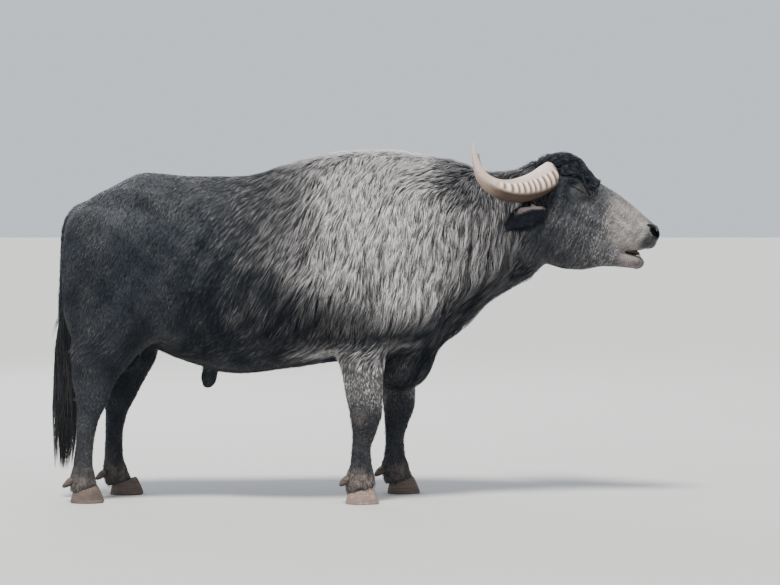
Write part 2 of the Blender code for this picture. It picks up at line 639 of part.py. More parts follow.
def dewclaw_rings(foot, side, grow=0.0):
    """A blunt cone that points back and down from behind the fetlock."""
    thickness, joints = LEGS[foot.leg]
    fetlock = joints["fetlock"]
    back = thickness["fetlock"].half_depth * DEWCLAW_ROOT
    root = np.array(fetlock) + (-back, side * DEWCLAW_SPREAD, -DEWCLAW_DROP)
    way = np.array((-0.80, side * 0.12, -0.58))
    shape = ((0.0, 0.95), (0.45, 1.0), (0.85, 0.62), (1.0, 0.2))  # share of the length, share of the radius
    line = [
        Station(*(root + way * DEWCLAW_LENGTH * share), DEWCLAW_RADIUS * wide, DEWCLAW_RADIUS * wide)
        for share, wide in shape
    ]
    return sweep(line, 4, 7, (0, 0, 1), 1, grow)


def teeth_mesh():
    """The front teeth, side by side along the arc of the lower jaw's rim."""

    def build(shape):
        start, radius, height = TOOTH_ARC
        for k in range(TEETH):
            angle = math.radians(110 * ((k + 0.5) / TEETH - 0.5))
            centre = (start + radius * math.cos(angle), radius * math.sin(angle), height)
            place = head_frame() @ Matrix.Translation(centre) @ Matrix.Rotation(angle, 4, "Z")
            bmesh.ops.create_cube(shape, size=1.0, matrix=place @ Matrix.Diagonal(TOOTH_SIZE).to_4x4())

    return mesh_of("teeth", build)


def insert(model, name, rings, finish, *hosts):
    """A piece made of rings, let into its hosts: rings(grow) gives them, grown for the pocket."""
    model.piece(name, rings_mesh(name, rings(0.0)), finish)
    pocket = model.cutter(name + "_pocket", rings_mesh(name + "_pocket", rings(GAP)))
    for host in hosts:
        cut(host, pocket)


def ball_rings(side, grow):
    """The eyeball as rings round its axis, which points to the side."""
    tilt = np.linspace(0, math.pi, 7)
    angle = np.linspace(0, 2 * math.pi, 10, endpoint=False)
    radius = EYE_RADIUS + grow
    ring = np.maximum(np.sin(tilt), 0.08)[:, None]
    across = np.stack((ring * np.cos(angle), np.cos(tilt)[:, None] + 0 * angle, ring * np.sin(angle)), 2)
    return to_world(np.array(EYE_AT) * (1, side, 1) + radius * across)


def make_flesh(model):
    """The trunk, neck, head and legs, parted from one another by thin cuts. Returns them by name."""
    body = flesh_mesh("body", (-1.36, -0.48, -0.05), (0.95, 0.48, 1.52), 0.013, 3800)
    front = flesh_mesh("front", (0.60, -0.24, 0.84), (1.32, 0.24, 1.52), 0.0072, 1700)
    turn = head_frame()
    flesh = {}
    flesh["head"] = model.piece("head", front, "coat")
    behind = model.cutter("behind_head", half_space("behind_head", HEAD_FROM_NECK, GAP / 2, turn))
    cut(flesh["head"], behind)
    flesh["neck"] = model.piece("neck", body.copy(), "coat")
    neck_end = model.cutter("neck_end", half_space("neck_end", HEAD_FROM_NECK, -GAP / 2, turn))
    cut(flesh["neck"], neck_end, "INTERSECT")
    shoulder = model.cutter("behind_neck", half_space("behind_neck", NECK_FROM_TRUNK, GAP / 2))
    cut(flesh["neck"], shoulder)
    flesh["trunk"] = model.piece("trunk", body.copy(), "coat")
    trunk_end = model.cutter("trunk_end", half_space("trunk_end", NECK_FROM_TRUNK, -GAP / 2))
    cut(flesh["trunk"], trunk_end, "INTERSECT")
    for name, (rear, fore, inner, top) in LEG_TOPS.items():
        flesh[name] = model.piece(name, body.copy(), "coat")
        side = SIDES[name.split("_")[1]]
        nearest, furthest = sorted((side * inner, side * 0.6))
        low, high = (rear, nearest, -0.2), (fore, furthest, top)
        keep = model.cutter(name + "_room", box(name + "_room", low, high))
        cut(flesh[name], keep, "INTERSECT")
        low, high = [c - GAP for c in low], [c + GAP for c in high]
        away = model.cutter(name + "_clearance", box(name + "_clearance", low, high))
        cut(flesh["trunk"], away)
    return flesh


def make_feet(model, flesh):
    """Claws and dewclaws, and the sloping cut above the claws."""
    slope = (CLAW_FRONT - CLAW_BACK) / CLAW_LENGTH
    for foot in FEET:
        legname = foot.leg
        rise = (CLAW_FRONT + CLAW_BACK) / 2 + GAP
        low, high = (foot.x - 0.2, foot.y - 0.2, rise - 0.3), (foot.x + 0.2, foot.y + 0.2, rise)
        under = box(legname + "_under", low, high, -math.degrees(math.atan(slope)), (foot.x, foot.y, rise))
        cut(flesh[legname], model.cutter(legname + "_under", under))
        for which, side in SIDES.items():
            model.piece(f"{legname}_claw_{which}", rings_mesh("claw", claw_rings(foot, side)), "hoof")
            insert(
                model,
                f"{legname}_dewclaw_{which}",
                lambda grow, foot=foot, side=side: dewclaw_rings(foot, side, grow),
                "hoof",
                flesh[legname],
            )


def main():
    model = Model()
    flesh = make_flesh(model)
    head, trunk = flesh["head"], flesh["trunk"]
    make_feet(model, flesh)
    for which, side in SIDES.items():
        insert(
            model,
            f"horn_{which}",
            lambda grow, side=side: to_world(sweep(HORN, 14, 9, (0, 0, 1), side, grow, HORN_TRIANGLE)),
            "horn",
            head,
            flesh["neck"],
        )
        insert(
            model,
            f"ear_{which}",
            lambda grow, side=side: to_world(sweep(EAR, 8, 8, (-0.3, 0, 1), side, grow)),
            "coat",
            head,
        )
        insert(model, f"eye_{which}", lambda grow, side=side: ball_rings(side, grow), "eye", head)
    cut(head, model.cutter("teeth", teeth_mesh()), "UNION")
    switch = model.piece("tail_switch", rings_mesh("tail_switch", sweep(SWITCH, 9, 8, (1, 0, 0.2))), "switch_hair")
    insert(model, "tail", lambda grow: sweep(TAIL, 10, 7, (1, 0, 0.2), 1, grow), "coat", trunk, switch)


if __name__ == "__main__":
    main()
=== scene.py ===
"""The looks of a life-size water buffalo bull, standing and calling with its head held level.

+X is forwards, +Y is the animal's left and +Z is up. All sizes are in metres.
The hide is one surface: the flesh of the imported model, drawn in by the depth of the coat, with lids,
nostrils, lips, wrinkles and ears. The coat is solid locks that start on the hide and follow the lie of
the hair.
"""

from __future__ import annotations

import logging
import math
from collections.abc import Callable, Sequence
from dataclasses import dataclass, field, replace
from enum import Enum
from typing import NamedTuple

import bpy
import numpy as np
from mathutils import Matrix, Vector


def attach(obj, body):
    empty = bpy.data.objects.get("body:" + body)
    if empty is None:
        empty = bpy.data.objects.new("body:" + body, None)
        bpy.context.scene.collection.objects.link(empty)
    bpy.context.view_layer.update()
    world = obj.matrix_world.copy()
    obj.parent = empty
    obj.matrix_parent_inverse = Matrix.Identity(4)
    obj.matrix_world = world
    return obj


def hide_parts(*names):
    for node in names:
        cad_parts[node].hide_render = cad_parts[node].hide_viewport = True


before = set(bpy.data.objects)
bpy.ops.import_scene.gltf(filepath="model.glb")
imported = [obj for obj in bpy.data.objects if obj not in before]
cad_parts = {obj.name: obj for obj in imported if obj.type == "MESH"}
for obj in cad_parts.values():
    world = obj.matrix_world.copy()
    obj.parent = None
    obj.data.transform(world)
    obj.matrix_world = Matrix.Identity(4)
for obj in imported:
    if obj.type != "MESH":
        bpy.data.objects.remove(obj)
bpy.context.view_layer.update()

LOG = logging.getLogger("water_buffalo")
Array = np.ndarray
Triple = tuple[float, float, float]
Field = Callable[[Array], Array]
Random = np.random.Generator
Material, Socket, Thing = bpy.types.Material, bpy.types.NodeSocket, bpy.types.Object
TURN = 2 * math.pi
SHIFT = np.array((0.0002, -0.0095, 0.0))  # from the body plan's own origin to the middle of the whole outline


class Side(Enum):
    """The animal's sides, with the sign of Y on each."""

    RIGHT = -1
    LEFT = 1

    @property
    def word(self) -> str:
        """The side's name as the pieces use it."""
        return self.name.lower()


# --- the body plan ---


class Girth(NamedTuple):
    """An oval where a tape would go round, with its place along the body and how boxy its halves are."""

    at: float
    top: float
    bottom: float
    half_width: float
    widest: float
    ridge: float
    keel: float


class Joint(NamedTuple):
    """The middle of a leg at one level."""

    x: float
    y: float
    z: float


class Thickness(NamedTuple):
    """Half the depth and half the width of a leg at one level."""

    half_depth: float
    half_width: float


class Mass(NamedTuple):
    """A rounded mass that stands out of the lofts: centre, radii, lean in the side view, and blend."""

    centre: Triple
    radii: Triple
    lean: float
    blend: float


class Swell(NamedTuple):
    """A soft swell or hollow: centre, radii, lean in the side view, and height out of the surface."""

    centre: Triple
    radii: Triple
    lean: float
    height: float


class Station(NamedTuple):
    """A point on a swept piece's middle line with the half sizes of the oval there."""

    x: float
    y: float
    z: float
    half_wide: float
    half_thick: float


class Foot(NamedTuple):
    """Where one foot stands, and the leg it belongs to."""

    leg: str
    x: float
    y: float


TRUNK = (
    Girth(-1.12, 1.205, 0.72, 0.15, 1.0, 2.0, 2.0),  # pin bones
    Girth(-1.02, 1.262, 0.66, 0.215, 1.0, 2.0, 2.0),  # rump
    Girth(-0.85, 1.334, 0.62, 0.268, 1.02, 1.9, 2.0),  # hips
    Girth(-0.66, 1.318, 0.55, 0.305, 0.93, 1.9, 2.1),  # loin
    Girth(-0.47, 1.318, 0.512, 0.345, 0.88, 1.9, 2.1),  # flank
    Girth(-0.28, 1.368, 0.532, 0.368, 0.87, 1.8, 2.1),  # barrel
    Girth(-0.08, 1.418, 0.56, 0.355, 0.9, 1.8, 2.1),  # girth
    Girth(0.1, 1.428, 0.57, 0.315, 0.93, 1.8, 2.0),  # withers
    Girth(0.26, 1.412, 0.61, 0.27, 0.97, 1.9, 2.0),  # shoulder
    Girth(0.4, 1.388, 0.69, 0.225, 1.02, 1.9, 2.0),  # neck base
    Girth(0.55, 1.34, 0.805, 0.19, 1.06, 2.0, 2.0),  # mid neck
    Girth(0.68, 1.35, 0.88, 0.16, 1.1, 2.0, 2.0),  # nape
)
TRUNK_CAPS = (0.075, 0.1)  # how far the rounded ends reach past the first and last girth

# The head's own frame: u runs from between the horns to the muzzle, v to the left, w up out of the brow.
HEAD_AT = (0.771, 0.0, 1.179)
HEAD_PITCH, HEAD_YAW, HEAD_ROLL = (math.radians(a) for a in (20.0, -4.5, -4.5))
SKULL = (
    Girth(-0.06, 0.222, -0.15, 0.098, 0.08, 2.1, 2.0),  # poll
    Girth(0.0, 0.254, -0.17, 0.113, 0.11, 2.2, 2.0),  # crown
    Girth(0.06, 0.25, -0.16, 0.122, 0.11, 2.3, 2.0),  # brow
    Girth(0.11, 0.22, -0.15, 0.118, 0.095, 2.3, 2.0),  # eyes
    Girth(0.17, 0.186, -0.14, 0.1, 0.07, 2.2, 2.0),  # face
    Girth(0.24, 0.171, -0.125, 0.085, 0.05, 2.0, 2.0),  # bridge
    Girth(0.31, 0.15, -0.1, 0.076, 0.03, 2.0, 2.2),  # nose
    Girth(0.365, 0.13, -0.055, 0.076, 0.025, 2.0, 2.3),  # mouth corner
    Girth(0.405, 0.114, -0.03, 0.078, 0.028, 2.1, 2.3),  # lip
    Girth(0.44, 0.099, -0.008, 0.072, 0.036, 2.2, 2.2),  # muzzle
)
SKULL_CAPS = (0.08, 0.035)
JAW = (
    Girth(0.06, -0.04, -0.205, 0.08, -0.12, 2.0, 2.0),  # angle
    Girth(0.14, -0.03, -0.2, 0.082, -0.11, 2.0, 2.0),  # cheek
    Girth(0.22, -0.03, -0.18, 0.072, -0.1, 2.0, 2.0),  # middle
    Girth(0.3, -0.03, -0.136, 0.062, -0.085, 2.0, 2.0),  # bar
    Girth(0.36, -0.044, -0.116, 0.056, -0.08, 2.1, 2.0),  # mouth corner
    Girth(0.422, -0.042, -0.1, 0.048, -0.068, 2.2, 2.0),  # lower lip
)
JAW_CAPS = (0.06, 0.034)

# Half depths and half widths, from the upper arm or thigh down to the pastern.
FORELEG = tuple(
    map(
        Thickness,
        (0.135, 0.11, 0.087, 0.078, 0.068, 0.053, 0.042, 0.047, 0.059, 0.062),
        (0.085, 0.075, 0.064, 0.058, 0.06, 0.048, 0.04, 0.046, 0.056, 0.06),
    )
)
HINDLEG = tuple(
    map(
        Thickness,
        (0.19, 0.195, 0.172, 0.12, 0.088, 0.068, 0.048, 0.04, 0.042, 0.052, 0.056),
        (0.11, 0.105, 0.092, 0.072, 0.055, 0.05, 0.042, 0.038, 0.042, 0.052, 0.058),
    )
)
LEG_CAPS = (0.035, 0.1)
# The joints' places forwards, to the left and up.
FORELEG_OUT = (0.235, 0.225, 0.212, 0.205, 0.2, 0.2, 0.2, 0.2, 0.2)
FORELEG_LEVELS = (0.78, 0.66, 0.534, 0.44, 0.36, 0.29, 0.22, 0.16, 0.11, 0.06)
HINDLEG_OUT = (0.15, 0.17, 0.18, 0.175, 0.165, 0.16, 0.16, 0.16, 0.16)
JOINTS = {
    "foreleg_right": (
        (0.06, 0.02, 0.028, 0.034, 0.041, 0.036, 0.023, 0.022, 0.019, 0.022),
        (*(-k for k in FORELEG_OUT), -0.208),
        FORELEG_LEVELS,
    ),
    "foreleg_left": (
        (0.11, 0.12, 0.158, 0.17, 0.176, 0.166, 0.158, 0.158, 0.16, 0.174),
        (*FORELEG_OUT, 0.2),
        FORELEG_LEVELS,
    ),
    "hindleg_right": (
        (-0.985, -0.99, -0.985, -1.03, -1.06, -1.066, -1.085, -1.097, -1.104, -1.106, -1.1),
        (*(-k for k in HINDLEG_OUT), -0.162, -0.168),
        (0.98, 0.8, 0.68, 0.56, 0.48, 0.41, 0.33, 0.24, 0.16, 0.1, 0.055),
    ),
    "hindleg_left": (
        (-0.985, -0.98, -0.96, -0.945, -0.962, -0.978, -0.993, -1.003, -1.004, -0.998, -0.985),
        (*HINDLEG_OUT, 0.16, 0.16),
        (0.98, 0.8, 0.68, 0.56, 0.47, 0.4, 0.33, 0.24, 0.16, 0.1, 0.055),
    ),
}
LEGS = {
    leg: (FORELEG if "fore" in leg else HINDLEG, tuple(map(Joint, *places))) for leg, places in JOINTS.items()
}

PAIRED_MASSES = (
    Mass((0.225, 0.15, 0.79), (0.125, 0.11, 0.14), 0.0, 0.1),  # point of the shoulder
    Mass((0.03, 0.215, 0.83), (0.13, 0.095, 0.17), -14.0, 0.1),  # upper arm
    Mass((-0.985, 0.13, 1.0), (0.175, 0.11, 0.25), 0.0, 0.1),  # haunch
    Mass((-0.865, 0.185, 0.8), (0.085, 0.085, 0.125), -20.0, 0.1),  # stifle
)
MIDLINE_MASSES = (
    Mass((0.18, 0.0, 0.62), (0.15, 0.125, 0.185), 0.0, 0.08),  # brisket
    Mass((0.36, 0.0, 0.76), (0.2, 0.075, 0.1), -42.0, 0.06),  # dewlap
    Mass((-0.6, 0.0, 0.5), (0.032, 0.026, 0.05), 8.0, 0.03),  # sheath
    Mass((-0.93, 0.0, 0.61), (0.06, 0.055, 0.085), 0.0, 0.04),  # scrotum
)
HEAD_MASSES = (
    Mass((0.11, 0.062, -0.06), (0.115, 0.048, 0.115), 0.0, 0.05),  # cheek
    Mass((0.438, 0.046, 0.062), (0.034, 0.028, 0.032), 0.0, 0.03),  # wing of the nostril
)
SWELLS = (
    Swell((-0.835, 0.235, 1.24), (0.07, 0.08, 0.045), 15.0, 0.022),  # hip bone
    Swell((-1.13, 0.13, 1.11), (0.06, 0.06, 0.06), 0.0, 0.018),  # pin bone
    Swell((-0.98, 0.215, 1.19), (0.11, 0.1, 0.045), 12.0, -0.016),  # rump hollow
    Swell((-0.69, 0.29, 1.15), (0.1, 0.12, 0.09), 0.0, -0.024),  # flank hollow
    Swell((-0.77, 0.26, 0.74), (0.05, 0.12, 0.16), -35.0, 0.02),  # flank fold
    Swell((-1.075, 0.23, 0.85), (0.028, 0.12, 0.17), 8.0, -0.014),  # hamstring groove
    Swell((0.15, 0.26, 1.12), (0.07, 0.15, 0.22), 10.0, 0.014),  # ridge of the shoulder blade
    Swell((-0.05, 0.33, 1.06), (0.09, 0.16, 0.24), 8.0, -0.014),  # behind the blade
    Swell((-0.01, 0.31, 0.83), (0.08, 0.12, 0.1), 0.0, 0.016),  # triceps
    Swell((-0.12, 0.29, 0.7), (0.055, 0.12, 0.11), 10.0, -0.018),  # behind the elbow
    Swell((0.125, 0.3, 0.78), (0.03, 0.12, 0.11), -25.0, -0.014),  # groove over the arm
    Swell((0.43, 0.23, 1.18), (0.17, 0.14, 0.07), 0.0, 0.016),  # neck muscle
    Swell((0.42, 0.2, 0.96), (0.15, 0.13, 0.045), -38.0, -0.018),  # throat groove
    Swell((-0.33, 0.34, 0.84), (0.23, 0.15, 0.17), 0.0, 0.014),  # side of the barrel
)
MIDLINE_SWELLS = (
    Swell((-1.19, 0.0, 0.83), (0.11, 0.055, 0.22), 0.0, -0.055),  # cleft behind the tail
    Swell((0.33, 0.0, 0.64), (0.06, 0.022, 0.1), -40.0, -0.01),  # cleft of the chest
)
HEAD_SWELLS = (
    Swell((0.088, 0.115, 0.156), (0.042, 0.034, 0.018), 10.0, 0.013),  # brow ridge
    Swell((0.097, 0.125, 0.118), (0.04, 0.034, 0.026), 10.0, -0.009),  # eye socket
    Swell((0.165, 0.1, 0.095), (0.055, 0.04, 0.028), 15.0, -0.009),  # tear hollow
    Swell((0.185, 0.09, 0.03), (0.085, 0.04, 0.014), 8.0, 0.007),  # cheek ridge
    Swell((0.25, 0.085, -0.03), (0.06, 0.04, 0.05), 20.0, -0.005),  # cheek groove
    Swell((0.085, 0.105, -0.085), (0.06, 0.05, 0.07), 0.0, 0.01),  # jaw muscle
    Swell((-0.04, 0.11, 0.02), (0.03, 0.05, 0.09), 8.0, -0.012),  # groove behind the jaw
    Swell((0.452, 0.052, 0.066), (0.014, 0.022, 0.011), -25.0, -0.02),  # nostril
    Swell((0.395, 0.078, 0.03), (0.012, 0.03, 0.05), 25.0, -0.005),  # lip fold
)

HORN = (  # in the head's frame, for the left horn; wide is up and down, thick is front to back
    Station(-0.03, 0.06, 0.128, 0.062, 0.048),
    Station(-0.04, 0.105, 0.108, 0.062, 0.048),
    Station(-0.068, 0.165, 0.068, 0.058, 0.045),
    Station(-0.114, 0.238, 0.03, 0.051, 0.04),
    Station(-0.157, 0.292, 0.01, 0.043, 0.035),
    Station(-0.201, 0.328, 0.004, 0.036, 0.03),
    Station(-0.246, 0.35, 0.012, 0.029, 0.025),
    Station(-0.284, 0.36, 0.034, 0.022, 0.019),
    Station(-0.318, 0.355, 0.074, 0.014, 0.013),
    Station(-0.341, 0.343, 0.112, 0.009, 0.008),
    Station(-0.352, 0.33, 0.142, 0.003, 0.003),
)
EAR = (  # in the head's frame, for the left ear
    Station(0.012, 0.085, -0.006, 0.018, 0.014),
    Station(0.006, 0.12, -0.014, 0.026, 0.016),
    Station(-0.016, 0.15, -0.028, 0.04, 0.013),
    Station(-0.048, 0.178, -0.05, 0.05, 0.01),
    Station(-0.08, 0.202, -0.078, 0.043, 0.008),
    Station(-0.105, 0.222, -0.108, 0.024, 0.006),
    Station(-0.12, 0.235, -0.132, 0.006, 0.004),
)
TAIL = (
    Station(-1.07, 0.0, 1.19, 0.03, 0.026),
    Station(-1.125, 0.0, 1.178, 0.032, 0.028),
    Station(-1.168, 0.0, 1.13, 0.031, 0.027),
    Station(-1.183, -0.004, 1.05, 0.028, 0.024),
    Station(-1.19, -0.008, 0.94, 0.024, 0.021),
    Station(-1.196, -0.012, 0.82, 0.021, 0.019),
    Station(-1.199, -0.016, 0.7, 0.019, 0.018),
    Station(-1.198, -0.02, 0.605, 0.018, 0.017),
)
SWITCH = (
    Station(-1.192, -0.015, 0.8, 0.023, 0.021),
    Station(-1.19, -0.017, 0.68, 0.034, 0.026),
    Station(-1.192, -0.021, 0.57, 0.04, 0.03),
    Station(-1.19, -0.024, 0.45, 0.046, 0.034),
    Station(-1.189, -0.024, 0.35, 0.051, 0.037),
    Station(-1.19, -0.024, 0.26, 0.042, 0.032),
    Station(-1.192, -0.022, 0.19, 0.025, 0.022),
    Station(-1.196, -0.02, 0.12, 0.006, 0.006),
)
EYE_AT, EYE_RADIUS = (0.097, 0.095, 0.119), 0.022  # in the head's frame, for the left eye
FEET = (
    Foot("foreleg_right", 0.028, -0.21),
    Foot("foreleg_left", 0.196, 0.202),
    Foot("hindleg_right", -1.086, -0.17),
    Foot("hindleg_left", -0.95, 0.162),
)
CLAW_LENGTH, CLAW_WIDTH, CLAW_SPREAD = 0.136, 0.06, 0.005  # at the sole; spread is half the cleft between two
CLAW_FRONT, CLAW_BACK = 0.078, 0.04  # height of the claw's top edge at the toe and at the heel
CLAW_SLOPE = (CLAW_FRONT - CLAW_BACK) / CLAW_LENGTH


# --- curves and fields ---


def ramp(low: float, high: float, at: Array) -> Array:
    """0 below low, 1 above high and a soft S between them.

    Args:
        low: where the rise starts; may be above high for a fall.
        high: where it ends.
        at: the values to look up.

    Returns:
        3t² − 2t³ with t the clamped share of the way from low to high.
    """
    t = np.clip((at - low) / (high - low), 0.0, 1.0)
    return t * t * (3.0 - 2.0 * t)


def bell(at: Array) -> Array:
    """exp(−at²)."""
    return np.exp(-(at**2))


def hill(away: Array) -> Array:
    """exp(−r²) for each row of offsets."""
    return np.exp(-(away**2).sum(1))


def smooth_curve(at: Array, knots: Sequence[float], values: Sequence[float]) -> Array:
    """A monotone cubic through the knots, constant past both ends.

    Args:
        at: where to read the curve.
        knots: the curve's places, rising.
        values: its values there.

    Returns:
        The cubic Hermite value, with the harmonic mean of the two slopes as tangent at each inner knot.
    """
    places, heights = np.asarray(knots, float), np.asarray(values, float)
    span = np.diff(places)
    slope = np.diff(heights) / span
    tangent = np.zeros(len(places))
    same_way = slope[:-1] * slope[1:] > 0
    total = np.where(same_way, slope[:-1] + slope[1:], 1.0)
    tangent[1:-1] = np.where(same_way, 2 * slope[:-1] * slope[1:] / total, 0.0)
    tangent[0], tangent[-1] = slope[0], slope[-1]
    i = np.clip(np.searchsorted(places, at) - 1, 0, len(span) - 1)
    t = np.clip((at - places[i]) / span[i], 0.0, 1.0)
    rise = (1 + 2 * t) * (1 - t) ** 2 * heights[i] + t * t * (3 - 2 * t) * heights[i + 1]
    return rise + span[i] * (t * (1 - t) ** 2 * tangent[i] - t * t * (1 - t) * tangent[i + 1])


def union(a: Array, b: Array, blend: float) -> Array:
    """The smooth minimum of two fields, with a fillet about blend wide."""
    share = np.clip(0.5 + 0.5 * (b - a) / blend, 0.0, 1.0)
    return b + (a - b) * share - blend * share * (1 - share)


def section(
    across: Array, up: Array, half_width: Array, half_height: Array, power: Array | float
) -> tuple[Array, Array]:
    """How far out a point lies in an oval, and how fast that grows.

    Args:
        across, up: the point in the oval's plane.
        half_width, half_height: the oval's half sizes.
        power: 2 for an ellipse, more for a boxier oval.

    Returns:
        (|across/w|^p + |up/h|^p)^(1/p), which is 1 on the oval, and the length of its gradient.
    """
    a, b = np.abs(across) / half_width + 1e-4, np.abs(up) / half_height + 1e-4
    size = (a**power + b**power) ** (1 / power)
    slope = size ** (1 - power) * np.hypot(a ** (power - 1) / half_width, b ** (power - 1) / half_height)
    return size, slope


def loft(along: Array, across: Array, up: Array, girths: Sequence[Girth], caps: tuple[float, float]) -> Array:
    """The distance from a body whose ovals change along it.

    Args:
        along, across, up: the points in the body's frame.
        girths: the ovals, in order along the body.
        caps: how far the rounded ends reach past the first and last oval.

    Returns:
        About the distance in metres, negative inside: (size of the oval through the point − 1) / its slope.
    """
    knots = [girth.at for girth in girths]
    top, bottom, half_width, widest, ridge, keel = (
        smooth_curve(along, knots, [girth[k] for girth in girths]) for k in range(1, 7)
    )
    above = up > widest
    half_height = np.where(above, top - widest, widest - bottom)
    size, slope = section(across, up - widest, half_width, half_height, np.where(above, ridge, keel))
    past = np.maximum(knots[0] - along, 0) / caps[0] + np.maximum(along - knots[-1], 0) / caps[1]
    return (np.hypot(size, past) - 1) / slope


def scaled_offset(points: Array, shape: Mass | Swell, side: int) -> Array:
    """How far points are from a mass or a swell in units of its radii. side is 0 on the midline."""
    lean = math.radians(shape.lean)
    x, y, z = (points - np.array(shape.centre) * (1, side or 1, 1)).T
    x, z = x * math.cos(lean) - z * math.sin(lean), x * math.sin(lean) + z * math.cos(lean)
    return np.stack((x, y, z), 1) / np.array(shape.radii)


def ellipsoid(points: Array, mass: Mass, side: int) -> Array:
    """About the distance from an ellipsoid: its size function times (size − 1) over the gradient."""
    scaled = scaled_offset(points, mass, side)
    size = np.linalg.norm(scaled, axis=1) + 1e-6
    return size * (size - 1) / (np.linalg.norm(scaled / np.array(mass.radii), axis=1) + 1e-6)


def with_relief(
    distance: Array, points: Array, masses: Sequence[Mass], swells: Sequence[Swell], sides: Sequence[int]
) -> Array:
    """The field with masses joined on and swells raised out of it by their height times exp(−r²)."""
    for side in sides:
        for mass in masses:
            distance = union(distance, ellipsoid(points, mass, side), mass.blend)
        for swell in swells:
            distance = distance - swell.height * hill(scaled_offset(points, swell, side))
    return distance


def smooth_stations(stations: Sequence[Station], count: int) -> Array:
    """More stations along the same line: a Catmull-Rom curve through them, evenly spaced."""
    given = np.array(stations, float)
    ends = 2 * given[[0, -1]] - given[[1, -2]]
    padded = np.vstack((ends[:1], given, ends[1:]))
    at = np.linspace(0, len(given) - 1, 12 * len(given))
    i = np.minimum(at.astype(int), len(given) - 2)
    t = (at - i)[:, None]
    a, b, c, d = (padded[i + k] for k in range(4))
    line = 0.5 * (2 * b + (c - a) * t + (2 * a - 5 * b + 4 * c - d) * t**2 + (3 * b - a - 3 * c + d) * t**3)
    walked = np.concatenate(([0], np.cumsum(np.linalg.norm(np.diff(line[:, :3], axis=0), axis=1))))
    even = np.linspace(0, walked[-1], count)
    return np.stack([np.interp(even, walked, column) for column in line.T], axis=1)


def within(points: Array, low: Sequence[float] | Array, high: Sequence[float] | Array) -> Array:
    """The numbers of the points inside a box."""
    return np.nonzero(((points > low) & (points < high)).all(1))[0]


def spokes(count: int) -> Array:
    """Angles all the way round, as one row."""
    return np.linspace(0, TURN, count, endpoint=False)[None]


def unit(vectors: Array) -> Array:
    """The vectors at length one."""
    return vectors / (np.linalg.norm(vectors, axis=-1, keepdims=True) + 1e-12)


def tangent(vectors: Array, normals: Array) -> Array:
    """The vectors laid into the planes that the normals stand on, at length one."""
    return unit(vectors - (vectors * normals).sum(-1, keepdims=True) * normals)


def waves(points: Array, size: float, seed: int) -> Array:
    """Soft noise from −1 to 1: a mean of sine waves that run in seeded directions.

    Args:
        points: where to read it.
        size: about how far apart two swells are.
        seed: which pattern.
    """
    draw = np.random.default_rng(seed)
    ways = unit(draw.normal(size=(7, 3))) * (TURN / size) * draw.uniform(0.6, 1.6, (7, 1))
    phase = draw.uniform(0, TURN, 7)
    return np.clip(np.sin(points @ ways.T + phase).sum(1) / 3.2, -1, 1)


class Head:
    """The head's own frame, placed on the end of the neck."""

    def __init__(self) -> None:
        turn = Matrix.Rotation(HEAD_YAW, 4, "Z") @ Matrix.Rotation(HEAD_PITCH, 4, "Y")
        turn = turn @ Matrix.Rotation(HEAD_ROLL, 4, "X")
        self.matrix = np.array(Matrix.Translation(HEAD_AT) @ turn)

    def inside(self, points: Array) -> Array:
        """World points in the head's frame."""
        return (points - self.matrix[:3, 3]) @ self.matrix[:3, :3]

    def outside(self, points: Array) -> Array:
        """Points in the head's frame, in the world."""
        return points @ self.matrix[:3, :3].T + self.matrix[:3, 3]

    def turned(self, vectors: Array) -> Array:
        """Directions in the head's frame, in the world."""
        return vectors @ self.matrix[:3, :3].T


HEAD = Head()


@dataclass(frozen=True)
class Sweep:
    """An oval carried along stations, as rings with their frames."""

    stations: tuple[Station, ...]
    count: int
    side: int = 1
    up: Triple = (0.0, 0.0, 1.0)

    def frames(self) -> tuple[Array, Array, Array, Array, Array]:
        """Each ring's middle, its upward and across directions, and its two half sizes."""
        line = smooth_stations(self.stations, self.count)
        middle = line[:, :3] * (1, self.side, 1)
        along = unit(np.gradient(middle, axis=0))
        across = unit(np.cross(along, np.array(self.up, float)))
        return middle, np.cross(across, along), across, line[:, 3], line[:, 4]

    def rings(self, wide: Array, thick: Array, lift: Array | float = 0.0) -> Array:
        """Points at shares of the half sizes, wide upward and thick across; lift moves them across."""
        middle, upward, across, half_wide, half_thick = self.frames()
        return (
            middle[:, None]
            + (wide * half_wide[:, None])[..., None] * upward[:, None]
            + (thick * half_thick[:, None] + lift)[..., None] * across[:, None]
        )


